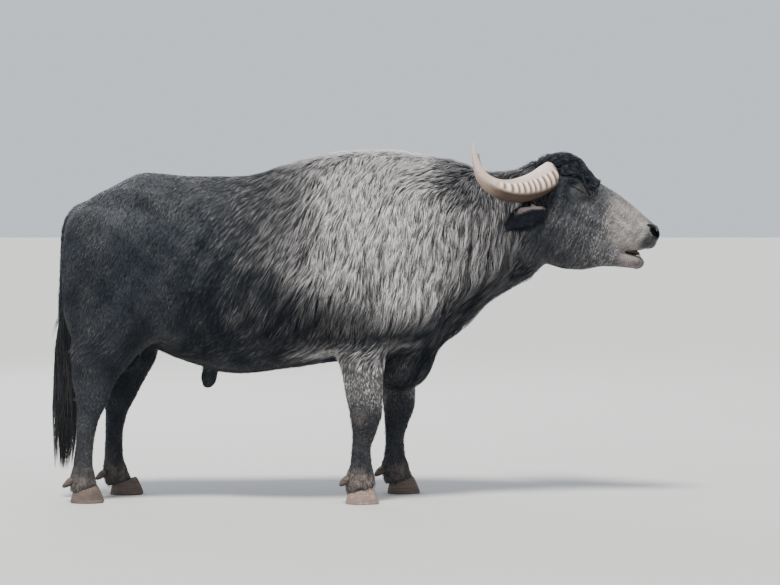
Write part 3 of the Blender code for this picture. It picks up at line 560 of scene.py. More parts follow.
class Region:
    """Shares from 0 to 1 that say which part of the animal a point belongs to."""

    @staticmethod
    def head(points: Array) -> Array:
        """The head in front of the horns, without the throat below it."""
        u, _, w = HEAD.inside(points).T
        return ramp(-0.075, 0.005, u) * ramp(-0.27, -0.21, w)

    @staticmethod
    def tuft(points: Array) -> Array:
        """The curly mop over the poll and forehead, with its lobe in front of the eye."""
        u, v, w = HEAD.inside(points).T
        top = ramp(-0.16, -0.08, u) * ramp(0.185, 0.15, u)
        edge = 0.158 - 0.028 * ramp(0.1, 0.16, u) + 0.012 * np.cos(v * 40)
        return top * ramp(edge - 0.012, edge + 0.012, w)

    @staticmethod
    def leg(points: Array) -> Array:
        """The four legs below the belly."""
        return ramp(0.62, 0.5, points[:, 2]) * ramp(0.06, 0.11, np.abs(points[:, 1]))

    @staticmethod
    def ears(points: Array) -> Array:
        """The leaves of both ears."""
        local = HEAD.inside(points)
        found = np.zeros(len(points))
        near = within(local, (-0.19, -0.3, -0.2), (0.05, 0.3, 0.06))
        for side in PLAN.sides:
            mine = near[local[near, 1] * side > 0.1]
            reach, up, through, wide, thick, _ = PLAN.ear.around(local[mine], side)
            size = np.hypot(up / wide, through / (thick + 0.012))
            found[mine] = ramp(1.25, 1.05, size) * ramp(0.14, 0.24, reach)
        return found

    @staticmethod
    def shag(points: Array) -> Array:
        """The long coat of the shoulders, neck and front of the barrel."""
        x, _, z = points.T
        reach = ramp(-0.7, -0.12, x - 0.2 * (z - 0.9)) * ramp(0.58, 0.78, z)
        return reach * (1 - Region.head(points))

    @staticmethod
    def sheath(points: Array) -> Array:
        """The small hanging sheath under the belly."""
        return hill((points - (-0.6, 0.0, 0.49)) / (0.085, 0.07, 0.08))

    @staticmethod
    def tail(points: Array) -> Array:
        """The hanging part of the tail."""
        x, y, z = points.T
        return ramp(-1.13, -1.15, x) * ramp(0.06, 0.045, np.abs(y)) * (z > 0.6)

    @staticmethod
    def underside(points: Array) -> Array:
        """The brisket, belly line and throat."""
        x, _, z = points.T
        line = smooth_curve(x, (-1.1, -0.6, 0.1, 0.35, 0.7), (0.66, 0.6, 0.66, 0.8, 0.95))
        return ramp(0.07, -0.02, z - line) * (1 - Region.leg(points)) * (1 - Region.head(points))


@dataclass(frozen=True)
class EyeShape:
    """The lids of one eye, in the head's frame: a ball over the eyeball, parted by an almond slit."""

    lid_radius: float = 0.0252
    half_length: float = 0.0205
    rise: float = 0.0014
    drop: float = 0.001
    slant: float = math.radians(7.0)
    wrinkle: float = 0.0011
    wrinkle_gap: float = 0.0062

    def around(self, local: Array, side: int) -> Array:
        """Points of the head's frame round the eye: along the slit, outwards, and up across it."""
        off = local - np.array(EYE_AT) * (1, side, 1)
        c, s = math.cos(self.slant), math.sin(self.slant)
        return np.stack((off[:, 0] * c - off[:, 2] * s, off[:, 1] * side, off[:, 0] * s + off[:, 2] * c), 1)

    def slit(self, along: Array, up: Array) -> Array:
        """About the distance to the almond whose edges are two parabolas, negative inside."""
        bow = 1 - (along / self.half_length) ** 2
        return np.where(up > 0, up - self.rise * bow, -up - self.drop * bow) / np.hypot(1, along * 18)

    def lids(self, distance: Array, local: Array, side: int) -> Array:
        """The field with the lid ball joined on, wrinkles raised round it and the slit cut through it."""
        along, out, up = self.around(local, side).T
        ball = np.sqrt(along**2 + out**2 + up**2) - self.lid_radius
        distance = union(distance, ball, 0.016)
        ring = np.hypot(along / 1.45, up)
        band = ramp(0.009, 0.015, ring) * ramp(0.04, 0.024, ring)
        band = band * (0.35 + 0.65 * np.abs(np.sin(np.arctan2(up, along) * 1.5 + 0.6)))
        band = band * ramp(-0.02, 0.012, up + 0.012)
        wander = 0.9 * np.sin(along * 190) + 0.7 * np.sin(up * 260 + 1.0)
        distance = distance - self.wrinkle * band * np.cos(ring * TURN / self.wrinkle_gap + wander)
        fold = bell((up - 0.0135 + 22 * along**2) / 0.0022) * ramp(0.03, 0.018, np.abs(along))
        distance = distance + 0.0014 * fold
        hole = np.maximum(self.slit(along, up), 0.008 - out)
        return np.maximum(distance, -hole)


@dataclass(frozen=True)
class EarShape:
    """The hanging ears as thin cupped leaves, in the head's frame."""

    up: Triple = (-0.3, 0.0, 1.0)
    cup: float = 0.013  # how far the leaf's edges bend outwards
    thin: float = 0.0035  # how far its skin lies inside the hair
    plump: float = 0.0125  # half its thickness while the first rough surface is found
    stations: int = 26

    def sweep(self, side: int, count: int) -> Sweep:
        """The oval that the leaf is made from."""
        return Sweep(EAR, count, side, self.up)

    @staticmethod
    def open_part(reach: Array) -> Array:
        """How far the leaf is open: not at its root, and closing at its tip."""
        return ramp(0.16, 0.5, reach) * ramp(1.0, 0.8, reach)

    def bend(self, reach: Array, wide: Array, side: int) -> Array:
        """How far the leaf is moved sideways: cup × (wide² − 0.4) where it is open."""
        return -side * self.cup * self.open_part(reach) * (np.clip(wide, -1.3, 1.3) ** 2 - 0.4)

    def around(self, local: Array, side: int) -> tuple[Array, ...]:
        """Points in the leaf's own measures.

        Args:
            local: points in the head's frame.
            side: which ear, by the sign of Y.

        Returns:
            Reach from 0 at the root to 1 at the tip, the places up across the leaf and through it in metres,
            the two half sizes there, and how far beyond the tip a point lies.
        """
        middle, upward, across, wide, thick = self.sweep(side, self.stations).frames()
        nearest, where = np.full(len(local), np.inf), np.zeros(len(local))
        for k, (start, end) in enumerate(zip(middle, middle[1:])):
            way = end - start
            share = np.clip((local - start) @ way / (way @ way), 0, 1)
            gap = ((local - start - share[:, None] * way) ** 2).sum(1)
            where = np.where(gap < nearest, k + share, where)
            nearest = np.minimum(gap, nearest)
        count = np.arange(self.stations)

        def there(values: Array) -> Array:
            """A value of the stations at each point's place along them."""
            return np.stack([np.interp(where, count, column) for column in values.T], -1)

        off = local - there(middle)
        up, through = (off * there(upward)).sum(1), (off * there(across)).sum(1)
        last = unit(middle[-1] - middle[-2])
        beyond = np.maximum((local - middle[-1]) @ last, 0)
        reach = where / (self.stations - 1)
        return reach, up, through, np.interp(where, count, wide), np.interp(where, count, thick), beyond

    def distance(self, local: Array, side: int, plump: bool) -> Array:
        """About the distance from one ear. plump keeps it thick enough for a coarse lattice to catch."""
        reach, up, through, wide, thick, beyond = self.around(local, side)
        ripple = 1 + 0.03 * np.sin(reach * 23) * np.sign(up) * self.open_part(reach)
        wide = (wide - self.thin * 0.6) * ripple
        through = through - self.bend(reach, up / wide, side)
        thick = np.maximum(thick - self.thin, self.plump if plump else 0.0036)
        size, slope = section(through, up, thick, wide, 2.0)
        return (np.hypot(size, beyond / 0.012) - 1) / slope

    def rim(self, local: Array) -> Array:
        """The bare upper rim of both ears, 1 on it and 0 elsewhere."""
        found = np.zeros(len(local))
        near = np.nonzero((np.abs(local[:, 1]) > 0.08) & (local[:, 0] < 0.04) & (local[:, 0] > -0.2))[0]
        for side in (-1, 1):
            mine = near[local[near, 1] * side > 0]
            reach, up, through, wide, _, _ = self.around(local[mine], side)
            edge = ramp(0.3, 0.58, up / wide) * ramp(0.14, 0.26, reach) * ramp(0.8, 0.6, reach)
            leaf = ramp(0.03, 0.022, np.abs(through)) * ramp(1.25, 1.15, up / wide)
            found[mine] = np.maximum(found[mine], edge * leaf)
        return found


class BodyPlan:
    """The flesh and the hide as fields: about the distance in metres, negative inside."""

    sides: tuple[int, int] = (-1, 1)
    eye: EyeShape = EyeShape()
    ear: EarShape = EarShape()
    shaggy_depth: float = 0.017
    sleek_depth: float = 0.0042
    nostril: tuple[Mass, ...] = (
        Mass((0.45, 0.056, 0.064), (0.027, 0.022, 0.0125), 24.0, 0.004),
        Mass((0.43, 0.066, 0.086), (0.016, 0.016, 0.005), -8.0, 0.004),
    )
    folds: tuple[Swell, ...] = (
        Swell((0.462, 0.25, 1.01), (0.017, 0.12, 0.17), 5.0, -0.046),  # where the neck meets the shoulder
        Swell((0.61, 0.23, 1.02), (0.015, 0.12, 0.14), 4.0, -0.034),
        Swell((0.365, 0.26, 0.83), (0.016, 0.12, 0.06), 4.0, -0.034),
        Swell((0.27, 0.28, 0.8), (0.015, 0.12, 0.07), 4.0, -0.03),
        Swell((0.535, 0.24, 0.96), (0.013, 0.12, 0.09), 8.0, -0.024),
    )
    fold_ridge: float = 0.35  # how high the skin beside a fold stands, as a share of the fold's depth
    jowls: tuple[Swell, ...] = (
        Swell((0.372, 0.07, -0.04), (0.016, 0.04, 0.016), 0.0, -0.005),  # corner of the mouth
        Swell((0.345, 0.075, -0.02), (0.01, 0.04, 0.045), 20.0, -0.004),
        Swell((0.3, 0.08, 0.075), (0.05, 0.03, 0.01), 25.0, -0.004),  # beside the bridge of the nose
        Swell((0.118, 0.12, 0.088), (0.036, 0.03, 0.007), 8.0, -0.004),  # under the eye
        Swell((0.14, 0.1, 0.15), (0.01, 0.03, 0.03), -30.0, -0.004),  # in front of the brow
    )

    def leg(self, points: Array, thickness: Sequence[Thickness], joints: Sequence[Joint]) -> Array:
        """One leg as a loft down its joints, with level ovals."""
        x, y, z = points.T
        knots = [joint.z for joint in reversed(joints)]
        rows = (*zip(*joints[::-1]),)[:2] + (*zip(*thickness[::-1]),)
        middle_x, middle_y, depth, width = (smooth_curve(z, knots, row) for row in rows)
        size, slope = section(y - middle_y, x - middle_x, width, depth, 2.0)
        past = np.maximum(knots[0] - z, 0) / LEG_CAPS[0] + np.maximum(z - knots[-1], 0) / LEG_CAPS[1]
        return (np.hypot(size, past) - 1) / slope

    def head(self, local: Array, mouth: bool) -> Array:
        """The skull, face and jaw in the head's frame. mouth parts the lips further back."""
        u, v, w = local.T
        skull, jaw = loft(u, v, w, SKULL, SKULL_CAPS), loft(u, v, w, JAW, JAW_CAPS)
        blend = 0.03 - (0.024 * ramp(0.335, 0.375, u) if mouth else 0)
        return with_relief(union(skull, jaw, blend), local, HEAD_MASSES, HEAD_SWELLS, self.sides)

    def flesh(self, points: Array, mouth: bool = False) -> Array:
        """The whole flesh out to the tips of the coat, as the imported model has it."""
        x, y, z = points.T
        distance = loft(x, y, z, TRUNK, TRUNK_CAPS)
        for thickness, joints in LEGS.values():
            distance = union(distance, self.leg(points, thickness, joints), 0.07)
        distance = with_relief(distance, points, PAIRED_MASSES, SWELLS, self.sides)
        distance = with_relief(distance, points, MIDLINE_MASSES, MIDLINE_SWELLS, (0,))
        near = x > 0.45
        head = np.full(len(points), 9.0)
        head[near] = self.head(HEAD.inside(points[near]), mouth)
        return union(distance, head, 0.07)

    def coat_depth(self, points: Array) -> Array:
        """How far the hide lies under the outline of the coat."""
        depth = self.sleek_depth + (self.shaggy_depth - self.sleek_depth) * Region.shag(points)
        depth = depth + 0.013 * Region.tuft(points) + 0.004 * Region.underside(points)
        depth = depth * (1 - 0.93 * Region.sheath(points)) * (1 - 0.6 * ramp(0.16, 0.1, points[:, 2]))
        return depth - 0.0015 * ramp(0.2, 0.3, HEAD.inside(points)[:, 0]) * Region.head(points)

    def chain(self, points: Array, stations: Array, distance: Array, blend: float) -> Array:
        """The field with a tapered tube along stations joined on."""
        reach = 0.09
        near = within(points, stations[:, :3].min(0) - reach, stations[:, :3].max(0) + reach)
        spot, tube = points[near], np.full(len(near), 9.0)
        for start, end in zip(stations, stations[1:]):
            way = end[:3] - start[:3]
            share = np.clip((spot - start[:3]) @ way / (way @ way), 0, 1)
            gap = np.linalg.norm(spot - start[:3] - share[:, None] * way, axis=1)
            tube = np.minimum(tube, gap - (start[3] + share * (end[3] - start[3])))
        joined = distance.copy()
        joined[near] = union(distance[near], tube, blend)
        return joined

    def rough_hide(self, points: Array) -> Array:
        """The hide with plump ears, which a coarse lattice can catch."""
        return self.hide(points, plump=True)

    def hide(self, points: Array, plump: bool = False) -> Array:
        """The skin under the coat, with tail, ears, folds, lids, nostrils and lips, cut above the claws."""
        distance = self.flesh(points, mouth=True) + self.coat_depth(points)
        distance = distance + self.folded(points)
        tail = smooth_stations(TAIL, 18)
        distance = self.chain(points, np.column_stack((tail[:, :3], tail[:, 4] - 0.003)), distance, 0.02)
        local = HEAD.inside(points)
        for side in self.sides:
            near = within(local * (1, side, 1), (-0.19, 0.02, -0.22), (0.06, 0.3, 0.07))
            distance[near] = union(distance[near], self.ear.distance(local[near], side, plump), 0.014)
        near = np.nonzero((local[:, 0] > 0.02) & (np.abs(local[:, 1]) < 0.2) & (np.abs(local[:, 2]) < 0.3))[0]
        distance[near] = self.features(distance[near], local[near])
        return self.above_claws(distance, points)

    def folded(self, points: Array) -> Array:
        """How deep the neck's folds are at each place in metres, and below 0 on the ridges beside them."""
        depth = np.zeros(len(points))
        near = np.nonzero((points[:, 0] > 0.18) & (points[:, 0] < 0.72))[0]
        for side in self.sides:
            for fold in self.folds:
                away = scaled_offset(points[near], fold, side)
                size = hill(away[:, 1:]) * -fold.height
                groove, ridge = bell(away[:, 0]), bell(np.abs(away[:, 0]) - 2.1)
                depth[near] += size * (groove - self.fold_ridge * ridge)
        return depth

    def features(self, distance: Array, local: Array) -> Array:
        """The fine shape of the face, on points in the head's frame."""
        u, v, w = local.T
        for side in self.sides:
            distance = self.eye.lids(distance, local, side)
            for swell in self.jowls:
                distance = distance - swell.height * hill(scaled_offset(local, swell, side))
            for hole in self.nostril:
                away = np.linalg.norm(scaled_offset(local, hole, side), axis=1)
                distance = distance - 0.0032 * bell((away - 1.45) / 0.28)
            for hole in self.nostril:
                distance = -union(-distance, ellipsoid(local, hole, side), hole.blend)
        chin = ramp(0.33, 0.36, u) * ramp(-0.045, -0.056, w) * ramp(-0.12, -0.1, w)
        distance = distance - 0.0019 * chin * self.chin_wrinkles(local)
        rim = bell((w - self.lip(u) - 0.008) / 0.006) * ramp(0.36, 0.39, u)
        groove = bell(v / 0.0035) * ramp(0.455, 0.468, u) * ramp(0.075, 0.055, w)
        return distance - 0.0022 * rim + 0.003 * groove * ramp(-0.01, 0.01, w)

    @staticmethod
    def lip(u: Array) -> Array:
        """The height of the upper lip's edge along the head."""
        return smooth_curve(u, (0.37, 0.405, 0.44, 0.475), (-0.045, -0.027, -0.008, 0.016))

    @staticmethod
    def chin_wrinkles(local: Array) -> Array:
        """Wrinkles 8.5 mm apart across the chin, from −1 to 1."""
        u, v, w = local.T
        return np.cos(TURN * (u + 0.25 * w + 0.3 * np.abs(v)) / 0.0085)

    def above_claws(self, distance: Array, points: Array) -> Array:
        """The field cut by the sloping plane over each foot's claws, with a rounded edge."""
        rise, edge = (CLAW_FRONT + CLAW_BACK) / 2 - 0.003, 0.005
        for foot in FEET:
            beside = (np.abs(points[:, :2] - (foot.x, foot.y)) < 0.16).all(1)
            near = np.nonzero(beside & (points[:, 2] < 0.2))[0]
            under = rise + CLAW_SLOPE * (points[near, 0] - foot.x) - points[near, 2]
            distance[near] = -union(-distance[near], -under, edge)
        return distance


PLAN = BodyPlan()


# --- from field to surface ---

CORNERS = np.indices((2, 2, 2)).reshape(3, -1).T


@dataclass
class Lattice:
    low: Array
    step: float
    values: Array

    @classmethod
    def of(cls, read: Field, low: tuple[float, ...], high: tuple[float, ...], step: float) -> Lattice:
        """Reads a field on a lattice. Blocks that lie far from the surface keep one coarse value."""
        block = 4
        corner_low = np.array(low)
        size = (np.ceil((np.array(high) - corner_low) / step / block).astype(int) + 1) * block
        corner = np.indices(size // block).reshape(3, -1).T * block * step + corner_low
        coarse = read(corner + (block - 1) * step / 2)
        values = np.repeat(coarse[:, None], block**3, axis=1)
        near = np.abs(coarse) < 1.5 * block * step
        within = np.indices((block,) * 3).reshape(3, -1).T * step
        fine = (corner[near][:, None] + within).reshape(-1, 3)
        values[near] = read(fine).reshape(-1, block**3)
        values = values.reshape(*(size // block), block, block, block)
        values = values.transpose(0, 3, 1, 4, 2, 5).reshape(size)
        outer = np.pad(np.zeros(size - 2, bool), 1, constant_values=True)
        return cls(corner_low, step, np.where(outer, step, values))

    def look(self, points: Array) -> tuple[Array, Array]:
        """The field's value and the direction in which it rises fastest, between the lattice's points.

        Args:
            points: where to look.

        Returns:
            The sum of the eight corners' values weighted by nearness, and the unit gradient of that sum.
        """
        at = (points - self.low) / self.step
        cell = np.clip(np.floor(at).astype(int), 0, np.array(self.values.shape) - 2)
        t = np.clip(at - cell, 0, 1)[:, None]
        ahead = cell[:, None] + CORNERS
        value = self.values[ahead[..., 0], ahead[..., 1], ahead[..., 2]]
        share = np.where(CORNERS, t, 1 - t)
        sign = np.where(CORNERS, 1.0, -1.0)
        slope = [
            (value * sign[:, k] * share[..., (k + 1) % 3] * share[..., (k + 2) % 3]).sum(1) for k in range(3)
        ]
        return (value * share.prod(-1)).sum(1), unit(np.stack(slope, 1))

    def fill_pinches(self, rounds: int = 4) -> None:
        """Fills one corner of each square or cube whose inner corners only face each other across its middle.

        Without this, two sheets of the surface would share an edge or a vertex there.
        """
        x, y, z = np.array(self.values.shape) - 1
        filled = -0.05 * self.step

        def corner(i: int, j: int, k: int) -> Array:
            """One corner of every cube."""
            return self.values[i : i + x, j : j + y, k : k + z]

        for _ in range(rounds):
            for j, k in ((0, 0), (0, 1), (1, 0), (1, 1)):
                inner = sum((corner(*at) < 0).astype(int) for at in np.ndindex(2, 2, 2))
                near, far, beside = corner(0, j, k), corner(1, 1 - j, 1 - k), corner(1, j, k)
                beside[(inner == 2) & (near < 0) & (far < 0)] = filled
                near[(inner == 6) & (near >= 0) & (far >= 0)] = filled
            for axis in range(3):
                layers = np.moveaxis(self.values, axis, 0)
                a, b, c, d = layers[:, :-1, :-1], layers[:, 1:, :-1], layers[:, 1:, 1:], layers[:, :-1, 1:]
                b[(a < 0) & (c < 0) & (b >= 0) & (d >= 0)] = filled
                a[(b < 0) & (d < 0) & (a >= 0) & (c >= 0)] = filled

    def net(self) -> tuple[Array, Array]:
        """(vertices, quads) of the surface where the field is zero: one vertex in each cell it crosses."""
        values = self.values
        cells = np.array(values.shape) - 1
        corners, places = [], []
        for axis in range(3):
            ahead = np.take(values, range(1, values.shape[axis]), axis)
            behind = np.take(values, range(cells[axis]), axis)
            edges = np.argwhere((ahead < 0) != (behind < 0))
            a, b = behind[tuple(edges.T)], ahead[tuple(edges.T)]
            point = edges.astype(float)
            point[:, axis] += a / (a - b)
            first, second = (np.eye(3, dtype=int)[(axis + k) % 3] for k in (1, 2))
            around = np.array((0 * first, -first, -first - second, -second))
            around = edges[:, None] + np.where((a < 0)[:, None, None], around[None], around[None, ::-1])
            corners.append(np.ravel_multi_index(tuple(np.moveaxis(around, 2, 0)), cells))
            places.append(np.repeat(point[:, None], 4, axis=1))
        joined, spots = np.concatenate(corners), np.concatenate(places)
        _, index = np.unique(joined, return_inverse=True)
        index = index.reshape(-1)
        count = np.bincount(index)
        middle = [np.bincount(index, spots[..., k].reshape(-1)) / count for k in range(3)]
        return np.stack(middle, 1) * self.step + self.low, index.reshape(-1, 4)


@dataclass
class Surface:
    """A mesh of quads and triangles as plain arrays."""

    points: Array
    quads: Array
    triangles: Array = field(default_factory=lambda: np.zeros((0, 3), int))

    def centres(self) -> Array:
        """The middle of each quad."""
        return self.points[self.quads].mean(1)

    def refined(self, chosen: Array) -> Surface:
        """The same surface with the chosen quads split into four and their neighbours fanned to meet them.

        Args:
            chosen: one boolean for each quad; quads that touch a triangle are left out.

        Returns:
            A new surface without gaps: each split edge has one middle vertex that both sides share.
        """
        count = len(self.points)
        fanned = np.zeros(count, bool)
        fanned[self.triangles.reshape(-1)] = True
        chosen = chosen & ~fanned[self.quads].any(1)
        following = np.roll(self.quads, -1, axis=1)
        low, high = np.minimum(self.quads, following), np.maximum(self.quads, following)
        key = low.astype(np.int64) * count + high
        split = np.unique(key[chosen])
        place = np.minimum(np.searchsorted(split, key), len(split) - 1)
        has = split[place] == key
        middle = np.where(has, count + place, -1)
        middles = (self.points[split // count] + self.points[split % count]) / 2
        fans = has.any(1) & ~chosen
        busy = np.nonzero(chosen | fans)[0]
        hub = np.full(len(self.quads), -1)
        hub[busy] = count + len(split) + np.arange(len(busy))
        hubs = self.points[self.quads[busy]].mean(1)
        inner = [
            np.stack((self.quads[chosen, k], middle[chosen, k], hub[chosen], middle[chosen, k - 1]), 1)
            for k in range(4)
        ]
        spokes = []
        for k in range(4):
            whole, halved = fans & ~has[:, k], fans & has[:, k]
            start, end = self.quads[:, k], self.quads[:, (k + 1) % 4]
            spokes.append(np.stack((hub[whole], start[whole], end[whole]), 1))
            spokes.append(np.stack((hub[halved], start[halved], middle[halved, k]), 1))
            spokes.append(np.stack((hub[halved], middle[halved, k], end[halved]), 1))
        kept = self.quads[~(chosen | fans)]
        return Surface(
            np.vstack((self.points, middles, hubs)),
            np.vstack((kept, *inner)),
            np.vstack((self.triangles, *spokes)),
        )

    def relaxed(self, rounds: int) -> Surface:
        """Each vertex drawn half way to the mean of its quads' corners, some rounds over."""
        points = self.points
        faces = (self.quads, self.triangles)
        weight = sum(np.bincount(face.reshape(-1), minlength=len(points)) * 1.0 for face in faces)
        for _ in range(rounds):
            drawn = np.zeros_like(points)
            for face in faces:
                middle = points[face].mean(1)
                for k in range(3):
                    repeated = np.repeat(middle[:, k], face.shape[1])
                    drawn[:, k] += np.bincount(face.reshape(-1), repeated, minlength=len(points))
            points = (points + drawn / weight[:, None]) / 2
        return Surface(points, self.quads, self.triangles)

    def projected(self, read: Field, reach: float, rounds: int) -> Surface:
        """Each vertex moved along the field's slope on to the field's zero, by at most reach a round."""
        points, nudge = self.points, 0.0006
        for _ in range(rounds):
            here = read(points)
            slope = np.stack([(read(points + nudge * axis) - here) / nudge for axis in np.eye(3)], 1)
            steep = np.maximum((slope**2).sum(1, keepdims=True), 0.05)
            move = -here[:, None] * slope / steep
            length = np.linalg.norm(move, axis=1, keepdims=True) + 1e-12
            points = points + move * np.minimum(1, reach / length)
        return Surface(points, self.quads, self.triangles)

    def flat(self) -> Array:
        """All faces as triangles."""
        q = self.quads
        return np.vstack((q[:, [0, 1, 2]], q[:, [0, 2, 3]], self.triangles))


# --- finishes ---

Colour = Triple
Settings = dict[int | str, object]


class Value:
    """A number that varies over a surface: a shader socket that takes part in sums."""

    def __init__(self, paint: Paint, socket: Socket) -> None:
        self.paint = paint
        self.socket = socket

    def __add__(self, other: Value | float) -> Value:
        """self + other."""
        return self.paint.maths("ADD", self, other)

    def __radd__(self, other: float) -> Value:
        """other + self."""
        return self.paint.maths("ADD", other, self)

    def __sub__(self, other: Value | float) -> Value:
        """self − other."""
        return self.paint.maths("SUBTRACT", self, other)

    def __rsub__(self, other: float) -> Value:
        """other − self."""
        return self.paint.maths("SUBTRACT", other, self)

    def __mul__(self, other: Value | float) -> Value:
        """self × other."""
        return self.paint.maths("MULTIPLY", self, other)

    def __rmul__(self, other: float) -> Value:
        """other × self."""
        return self.paint.maths("MULTIPLY", other, self)


class Paint:
    """One material and the nodes that make it."""

    def __init__(self, name: str) -> None:
        self.material = bpy.data.materials.new(name)
        self.material.use_nodes = True
        self.tree = self.material.node_tree
        self.tree.nodes.clear()

    def node(self, kind: str, settings: Settings, sockets: Settings) -> bpy.types.Node:
        """Adds any node.

        Args:
            kind: the node's type.
            settings: its properties, set first.
            sockets: values or links by input name or number.

        Returns:
            The new node.
        """
        made = self.tree.nodes.new(kind)
        for name, setting in settings.items():
            setattr(made, name, setting)
        for name, given in sockets.items():
            source = given.socket if isinstance(given, Value) else given
            if isinstance(source, Socket):
                self.tree.links.new(source, made.inputs[name])
            else:
                made.inputs[name].default_value = source
        return made

    def number(self, kind: str, sockets: Settings, output: int | str = 0, **settings: object) -> Value:
        """A number that a new node gives."""
        return Value(self, self.node(kind, settings, sockets).outputs[output])

    def maths(self, operation: str, a: Value | float, b: Value | float) -> Value:
        """One sum of two numbers."""
        return self.number("ShaderNodeMath", {0: a, 1: b}, operation=operation)

    def attribute(self, name: str) -> Value:
        """A number stored on the mesh's vertices."""
        return self.number("ShaderNodeAttribute", {}, "Fac", attribute_name=name)

    def flow(self, name: str, scale: Triple) -> Socket:
        """Three numbers stored on the mesh's vertices, each times its scale."""
        stored = self.node("ShaderNodeAttribute", {"attribute_name": name}, {}).outputs["Vector"]
        return self.node("ShaderNodeVectorMath", {"operation": "MULTIPLY"}, {0: stored, 1: scale}).outputs[0]

    def place(self) -> Socket:
        """The point's place in the model."""
        return self.node("ShaderNodeTexCoord", {}, {}).outputs["Object"]

    def along(self, place: Socket, way: Triple) -> Value:
        """How far the point lies along a direction, scaled by its length."""
        return self.number("ShaderNodeVectorMath", {0: place, 1: way}, "Value", operation="DOT_PRODUCT")

    def grain(self, place: Socket, way: Triple, fine: float, long: float) -> Socket:
        """The place squeezed so that a pattern on it is drawn out along a direction.

        Args:
            place: the point's place.
            way: the direction of the strands.
            fine: repeats a metre across the strands.
            long: repeats a metre along them.

        Returns:
            (place·side × fine, place·over × fine, place·way × long), with side and over square to way.
        """
        ahead = Vector(way).normalized()
        side = ahead.cross(Vector((0.0, 1.0, 0.0))).normalized()
        over = side.cross(ahead)
        axes = (side * fine, over * fine, ahead * long)
        dots = {k: self.along(place, tuple(axis)) for k, axis in enumerate(axes)}
        return self.node("ShaderNodeCombineXYZ", {}, dots).outputs[0]

    def noise(self, place: Socket, scale: float, detail: float = 2.0, rough: float = 0.5) -> Value:
        """Soft noise about 0.5."""
        sockets = {"Vector": place, "Scale": scale, "Detail": detail, "Roughness": rough}
        return self.number("ShaderNodeTexNoise", sockets)

    def cells(self, place: Socket, scale: float) -> Value:
        """The distance from the middle of the nearest of many small cells."""
        return self.number("ShaderNodeTexVoronoi", {"Vector": place, "Scale": scale}, "Distance")

    def rise(self, value: Value, low: float, high: float) -> Value:
        """0 below low, 1 above high and a soft S between."""
        sockets = {"Value": value, "From Min": min(low, high), "From Max": max(low, high)}
        made = self.number("ShaderNodeMapRange", sockets, interpolation_type="SMOOTHSTEP")
        return made if low < high else 1.0 - made

    def blend(self, share: Value | float, first: object, second: object) -> Socket:
        """The first colour at share 0 and the second at 1."""
        colours = [(*c, 1.0) if isinstance(c, tuple) else c for c in (first, second)]
        settings = {"data_type": "RGBA", "clamp_factor": True}
        return self.node("ShaderNodeMix", settings, {0: share, 6: colours[0], 7: colours[1]}).outputs[2]

    def layered(self, colour: object, *layers: tuple[Value | float, object]) -> Socket:
        """A colour under layers, each of which covers what lies below it by its share."""
        for share, over in layers:
            colour = self.blend(share, colour, over)
        return colour

    def bump(self, height: Value, depth: float, under: Socket | None = None) -> Socket:
        """The surface's tilt under a height from 0 to 1 that stands for depth metres."""
        sockets = {"Height": height, "Distance": depth, "Strength": 1.0}
        if under is not None:
            sockets["Normal"] = under
        return self.node("ShaderNodeBump", {}, sockets).outputs[0]

    def surface(
        self,
        colour: Socket,
        rough: Value | float,
        tilt: Socket | None = None,
        gloss: float | None = None,
        tint: Colour | None = None,
    ) -> Material:
        """Ends the material with one Principled surface.

        Args:
            colour: its colour.
            rough: its roughness.
            tilt: its bumps, if any.
            gloss: how strongly it mirrors, if not as the shader has it.
            tint: the colour of its gloss, if it has one.

        Returns:
            The finished material.
        """
        sockets = {"Base Color": colour, "Roughness": rough, "Normal": tilt, "Specular IOR Level": gloss}
        sockets["Specular Tint"] = tint and (*tint, 1.0)
        given = {name: value for name, value in sockets.items() if value is not None}
        shader = self.node("ShaderNodeBsdfPrincipled", {}, given)
        self.node("ShaderNodeOutputMaterial", {}, {"Surface": shader.outputs[0]})
        return self.material


@dataclass(frozen=True)
class CoatColours:
    """The colours that hide and hair share."""

    black: Colour = (0.0045, 0.0048, 0.006)
    # slate-black, pushed towards blue as painted blue skylight
    slate: Colour = (0.0095, 0.0128, 0.0185)
    # pale hair tips: partly faded hair, partly painted sunlight
    bleached: Colour = (0.37, 0.35, 0.33)
    tan: Colour = (0.42, 0.385, 0.35)
    pink: Colour = (0.47, 0.375, 0.345)
    dust: Colour = (0.225, 0.18, 0.152)
    wet: Colour = (0.0075, 0.0075, 0.0085)
    grain: Triple = (-0.5, 0.0, -0.86)


COLOURS = CoatColours()


